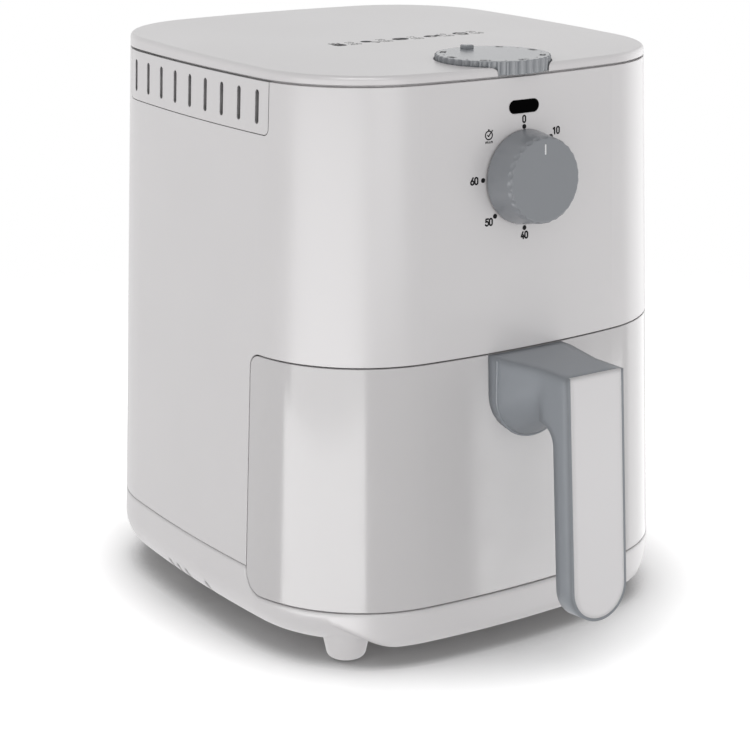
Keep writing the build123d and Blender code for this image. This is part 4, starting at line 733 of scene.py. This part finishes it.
class FRYER_OT_set_studio(bpy.types.Operator):
    """Pale floor, softboxes, even surround and the camera"""

    bl_idname = "fryer.set_studio"
    bl_label = "Set studio"

    def execute(self, context):
        studio = settings()[2]
        scene = context.scene
        self.add_floor(scene, studio)
        self.add_surround(scene, studio)
        self.add_panel(scene, "left_softbox", (-0.461, -0.275, 0.14), (-0.92, -0.393, 0),
                       width=0.57, height=0.24, brightness=studio.left_panel, use="mirrored")
        self.add_panel(scene, "near_softbox", (-0.17, -0.585, 0.27), (-0.139, -0.99, 0),
                       width=0.268, height=0.36, brightness=studio.near_panel, use="mirrored")
        self.add_panel(scene, "rim_softbox", (-0.395, -0.511, 0.903), (-0.37, -0.527, 0.766),
                       width=0.6, height=0.4, brightness=studio.rim_panel, use="mirrored")
        self.add_panel(scene, "left_card", (-0.475, -0.243, -0.09), (-0.92, -0.393, 0),
                       width=0.64, height=0.22, brightness=studio.left_card, use="mirrored")
        self.add_panel(scene, "front_card", (0.755, -0.775, -0.23), (0.755, -0.656, 0),
                       width=0.77, height=0.26, brightness=studio.front_card, use="mirrored")
        self.add_panel(scene, "edge_softbox", (0.8436, 0.0179, 0.15), (0.991, 0.131, 0),
                       width=0.62, height=1.0, brightness=studio.edge_panel, use="mirrored")
        self.add_panel(scene, "fill_softbox", (-1.3, 0.2, 0.4), (-1, 0.1, 0.15),
                       width=1.0, height=0.8, brightness=studio.fill_panel, use="lighting")
        camera = bpy.data.cameras.new("photo_camera")
        camera.lens = studio.lens
        camera.sensor_width = 36.0
        holder = bpy.data.objects.new("photo_camera", camera)
        scene.collection.objects.link(holder)
        holder.location = studio.camera_place
        holder.rotation_euler = (math.pi / 2 - studio.camera_pitch, 0, studio.camera_yaw)
        scene.camera = holder
        scene.view_settings.view_transform = "Standard"
        return {"FINISHED"}

    def seen(self, tree):
        """One for rays from the camera, a mirror or a clear piece, else zero."""
        path = tree.nodes.new("ShaderNodeLightPath")
        first = tree.nodes.new("ShaderNodeMath")
        second = tree.nodes.new("ShaderNodeMath")
        first.operation = second.operation = "MAXIMUM"
        join(tree, path.outputs["Is Camera Ray"], first.inputs[0])
        join(tree, path.outputs["Is Glossy Ray"], first.inputs[1])
        join(tree, first.outputs[0], second.inputs[0])
        join(tree, path.outputs["Is Transmission Ray"], second.inputs[1])
        return second.outputs[0]

    def add_surround(self, scene, studio):
        """White for what sees it, a lower light for the rest, dimmer overhead."""
        world = bpy.data.worlds.new("surround")
        scene.world = world
        world.use_nodes = True
        tree = world.node_tree
        light = tree.nodes["Background"]
        place = tree.nodes.new("ShaderNodeTexCoord")
        upward = tree.nodes.new("ShaderNodeSeparateXYZ")
        dim = tree.nodes.new("ShaderNodeMapRange")
        dim.inputs["To Min"].default_value = 1.0
        dim.inputs["To Max"].default_value = 0.58
        join(tree, place.outputs["Generated"], upward.inputs["Vector"])
        join(tree, upward.outputs["Z"], dim.inputs["Value"])
        join(tree, dim.outputs["Result"], light.inputs["Color"])
        light.inputs["Strength"].default_value = studio.ambient
        white = tree.nodes.new("ShaderNodeBackground")
        white.inputs["Color"].default_value = (1, 1, 1, 1)
        white.inputs["Strength"].default_value = 1.0
        mix = tree.nodes.new("ShaderNodeMixShader")
        join(tree, self.seen(tree), mix.inputs[0])
        join(tree, light.outputs[0], mix.inputs[1])
        join(tree, white.outputs[0], mix.inputs[2])
        join(tree, mix.outputs[0], tree.nodes["World Output"].inputs["Surface"])

    def add_floor(self, scene, studio):
        """A round floor that fades into the surround: rings by sectors, each a flat quad, with a painted
        contact shadow.
        """
        turns = np.linspace(0, 2 * math.pi, FLOOR_SECTORS + 1)[:-1]
        radius, sector = np.meshgrid(np.linspace(0.02, 2.4, FLOOR_RINGS), turns, indexing="ij")
        points = np.stack([radius * np.cos(sector), radius * np.sin(sector), radius * 0 - 0.0002], 2)
        ring_at, spoke = np.meshgrid(np.arange(FLOOR_RINGS - 1), np.arange(FLOOR_SECTORS), indexing="ij")
        here, after = ring_at * FLOOR_SECTORS, (ring_at + 1) * FLOOR_SECTORS
        beside = (spoke + 1) % FLOOR_SECTORS
        quads = np.stack([here + spoke, after + spoke, after + beside, here + beside], 2)
        faces = quads.reshape(-1, 4).tolist()
        faces.append(list(range(FLOOR_SECTORS)))
        mesh = bpy.data.meshes.new("studio_floor")
        mesh.from_pydata(points.reshape(-1, 3).tolist(), [], faces)
        floor = bpy.data.objects.new("studio_floor", mesh)
        scene.collection.objects.link(floor)
        floor.visible_glossy = False
        material = bpy.data.materials.new("floor_paper")
        material.use_nodes = True
        tree = material.node_tree
        tree.nodes.remove(tree.nodes["Principled BSDF"])
        paper = tree.nodes.new("ShaderNodeBsdfDiffuse")
        tint = tree.nodes.new("ShaderNodeMix")
        tint.data_type = "RGBA"
        tint.inputs["A"].default_value = (*studio.floor, 1)
        # Painted shadow: rays from the camera see the floor's colour darkened by ambient occlusion near the
        # object
        occlusion_shade = tree.nodes.new("ShaderNodeAmbientOcclusion")
        occlusion_shade.samples = 16
        occlusion_shade.inputs["Distance"].default_value = 0.085
        shade = tree.nodes.new("ShaderNodeMapRange")
        shade.inputs["From Min"].default_value = 0.35
        shade.inputs["From Max"].default_value = 0.97
        shade.inputs["To Min"].default_value = 0.46
        shade.inputs["To Max"].default_value = 2.1
        join(tree, occlusion_shade.outputs["AO"], shade.inputs["Value"])
        # The painted shadow is made lighter towards the left of the object
        place = tree.nodes.new("ShaderNodeTexCoord")
        across = tree.nodes.new("ShaderNodeSeparateXYZ")
        leftward = tree.nodes.new("ShaderNodeMapRange")
        leftward.inputs["From Min"].default_value = -0.28
        leftward.inputs["From Max"].default_value = -0.1
        leftward.inputs["To Min"].default_value = 1.28
        leftward.inputs["To Max"].default_value = 1.0
        lift = tree.nodes.new("ShaderNodeMath")
        lift.operation = "MULTIPLY"
        join(tree, place.outputs["Object"], across.inputs["Vector"])
        join(tree, across.outputs["X"], leftward.inputs["Value"])
        join(tree, shade.outputs["Result"], lift.inputs[0])
        join(tree, leftward.outputs["Result"], lift.inputs[1])
        join(tree, lift.outputs[0], tint.inputs["B"])
        join(tree, self.seen(tree), tint.inputs["Factor"])
        join(tree, tint.outputs["Result"], paper.inputs["Color"])
        clear = tree.nodes.new("ShaderNodeBsdfTransparent")
        length = tree.nodes.new("ShaderNodeVectorMath")
        length.operation = "LENGTH"
        join(tree, place.outputs["Object"], length.inputs[0])
        fade = tree.nodes.new("ShaderNodeMapRange")
        fade.interpolation_type = "SMOOTHSTEP"
        fade.inputs["From Min"].default_value = 0.3
        fade.inputs["From Max"].default_value = 0.75
        join(tree, length.outputs["Value"], fade.inputs["Value"])
        mix = tree.nodes.new("ShaderNodeMixShader")
        join(tree, fade.outputs["Result"], mix.inputs[0])
        join(tree, paper.outputs[0], mix.inputs[1])
        join(tree, clear.outputs[0], mix.inputs[2])
        join(tree, mix.outputs[0], tree.nodes["Material Output"].inputs["Surface"])
        mesh.materials.append(material)

    def add_panel(self, scene, name, place, away, width, height, brightness, use):
        """A softbox whose back points along away; brightness is its radiance.

        A mirrored one shows only as a gleam on glossy faces, a lighting one only lights matt faces.
        """
        lamp = bpy.data.lights.new(name, "AREA")
        lamp.shape = "RECTANGLE"
        lamp.size = width
        lamp.size_y = height
        lamp.energy = brightness * width * height * math.pi
        holder = bpy.data.objects.new(name, lamp)
        scene.collection.objects.link(holder)
        holder.location = place
        holder.rotation_euler = Vector(away).to_track_quat("Z", "Y").to_euler()
        holder.visible_camera = False
        holder.visible_diffuse = use != "mirrored"
        holder.visible_glossy = use != "lighting"


OPERATORS = (
    FRYER_OT_finish_housing,
    FRYER_OT_finish_drawer,
    FRYER_OT_finish_controls,
    FRYER_OT_finish_inside,
    FRYER_OT_print_timer_scale,
    FRYER_OT_print_pointer,
    FRYER_OT_add_ridge,
    FRYER_OT_print_dial,
    FRYER_OT_print_lid,
    FRYER_OT_set_studio,
)


class FRYER_PT_looks(bpy.types.Panel):
    """Steps and settings in the sidebar"""

    bl_idname = "FRYER_PT_looks"
    bl_label = "Air fryer"
    bl_space_type = "VIEW_3D"
    bl_region_type = "UI"
    bl_category = "Air fryer"

    def draw(self, context):
        layout = self.layout
        for operator in OPERATORS:
            layout.operator(operator.bl_idname)
        for group in settings():
            box = layout.box()
            for name in group.__annotations__:
                box.prop(group, name)


CLASSES = (FinishSettings, MarkSettings, StudioSettings, *OPERATORS, FRYER_PT_looks)


def register():
    """Adds the classes and their settings to Blender."""
    for cls in CLASSES:
        bpy.utils.register_class(cls)
    bpy.types.Scene.fryer_finish = PointerProperty(type=FinishSettings)
    bpy.types.Scene.fryer_marks = PointerProperty(type=MarkSettings)
    bpy.types.Scene.fryer_studio = PointerProperty(type=StudioSettings)


def unregister():
    """Takes the classes and their settings out again."""
    del bpy.types.Scene.fryer_studio
    del bpy.types.Scene.fryer_marks
    del bpy.types.Scene.fryer_finish
    for cls in reversed(CLASSES):
        bpy.utils.unregister_class(cls)


def main():
    """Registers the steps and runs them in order."""
    register()
    bpy.ops.fryer.finish_housing()
    bpy.ops.fryer.finish_drawer()
    bpy.ops.fryer.finish_controls()
    bpy.ops.fryer.finish_inside()
    bpy.ops.fryer.print_timer_scale()
    bpy.ops.fryer.print_pointer()
    bpy.ops.fryer.add_ridge()
    bpy.ops.fryer.print_dial()
    bpy.ops.fryer.print_lid()
    bpy.ops.fryer.set_studio()


if __name__ == "__main__":
    main()
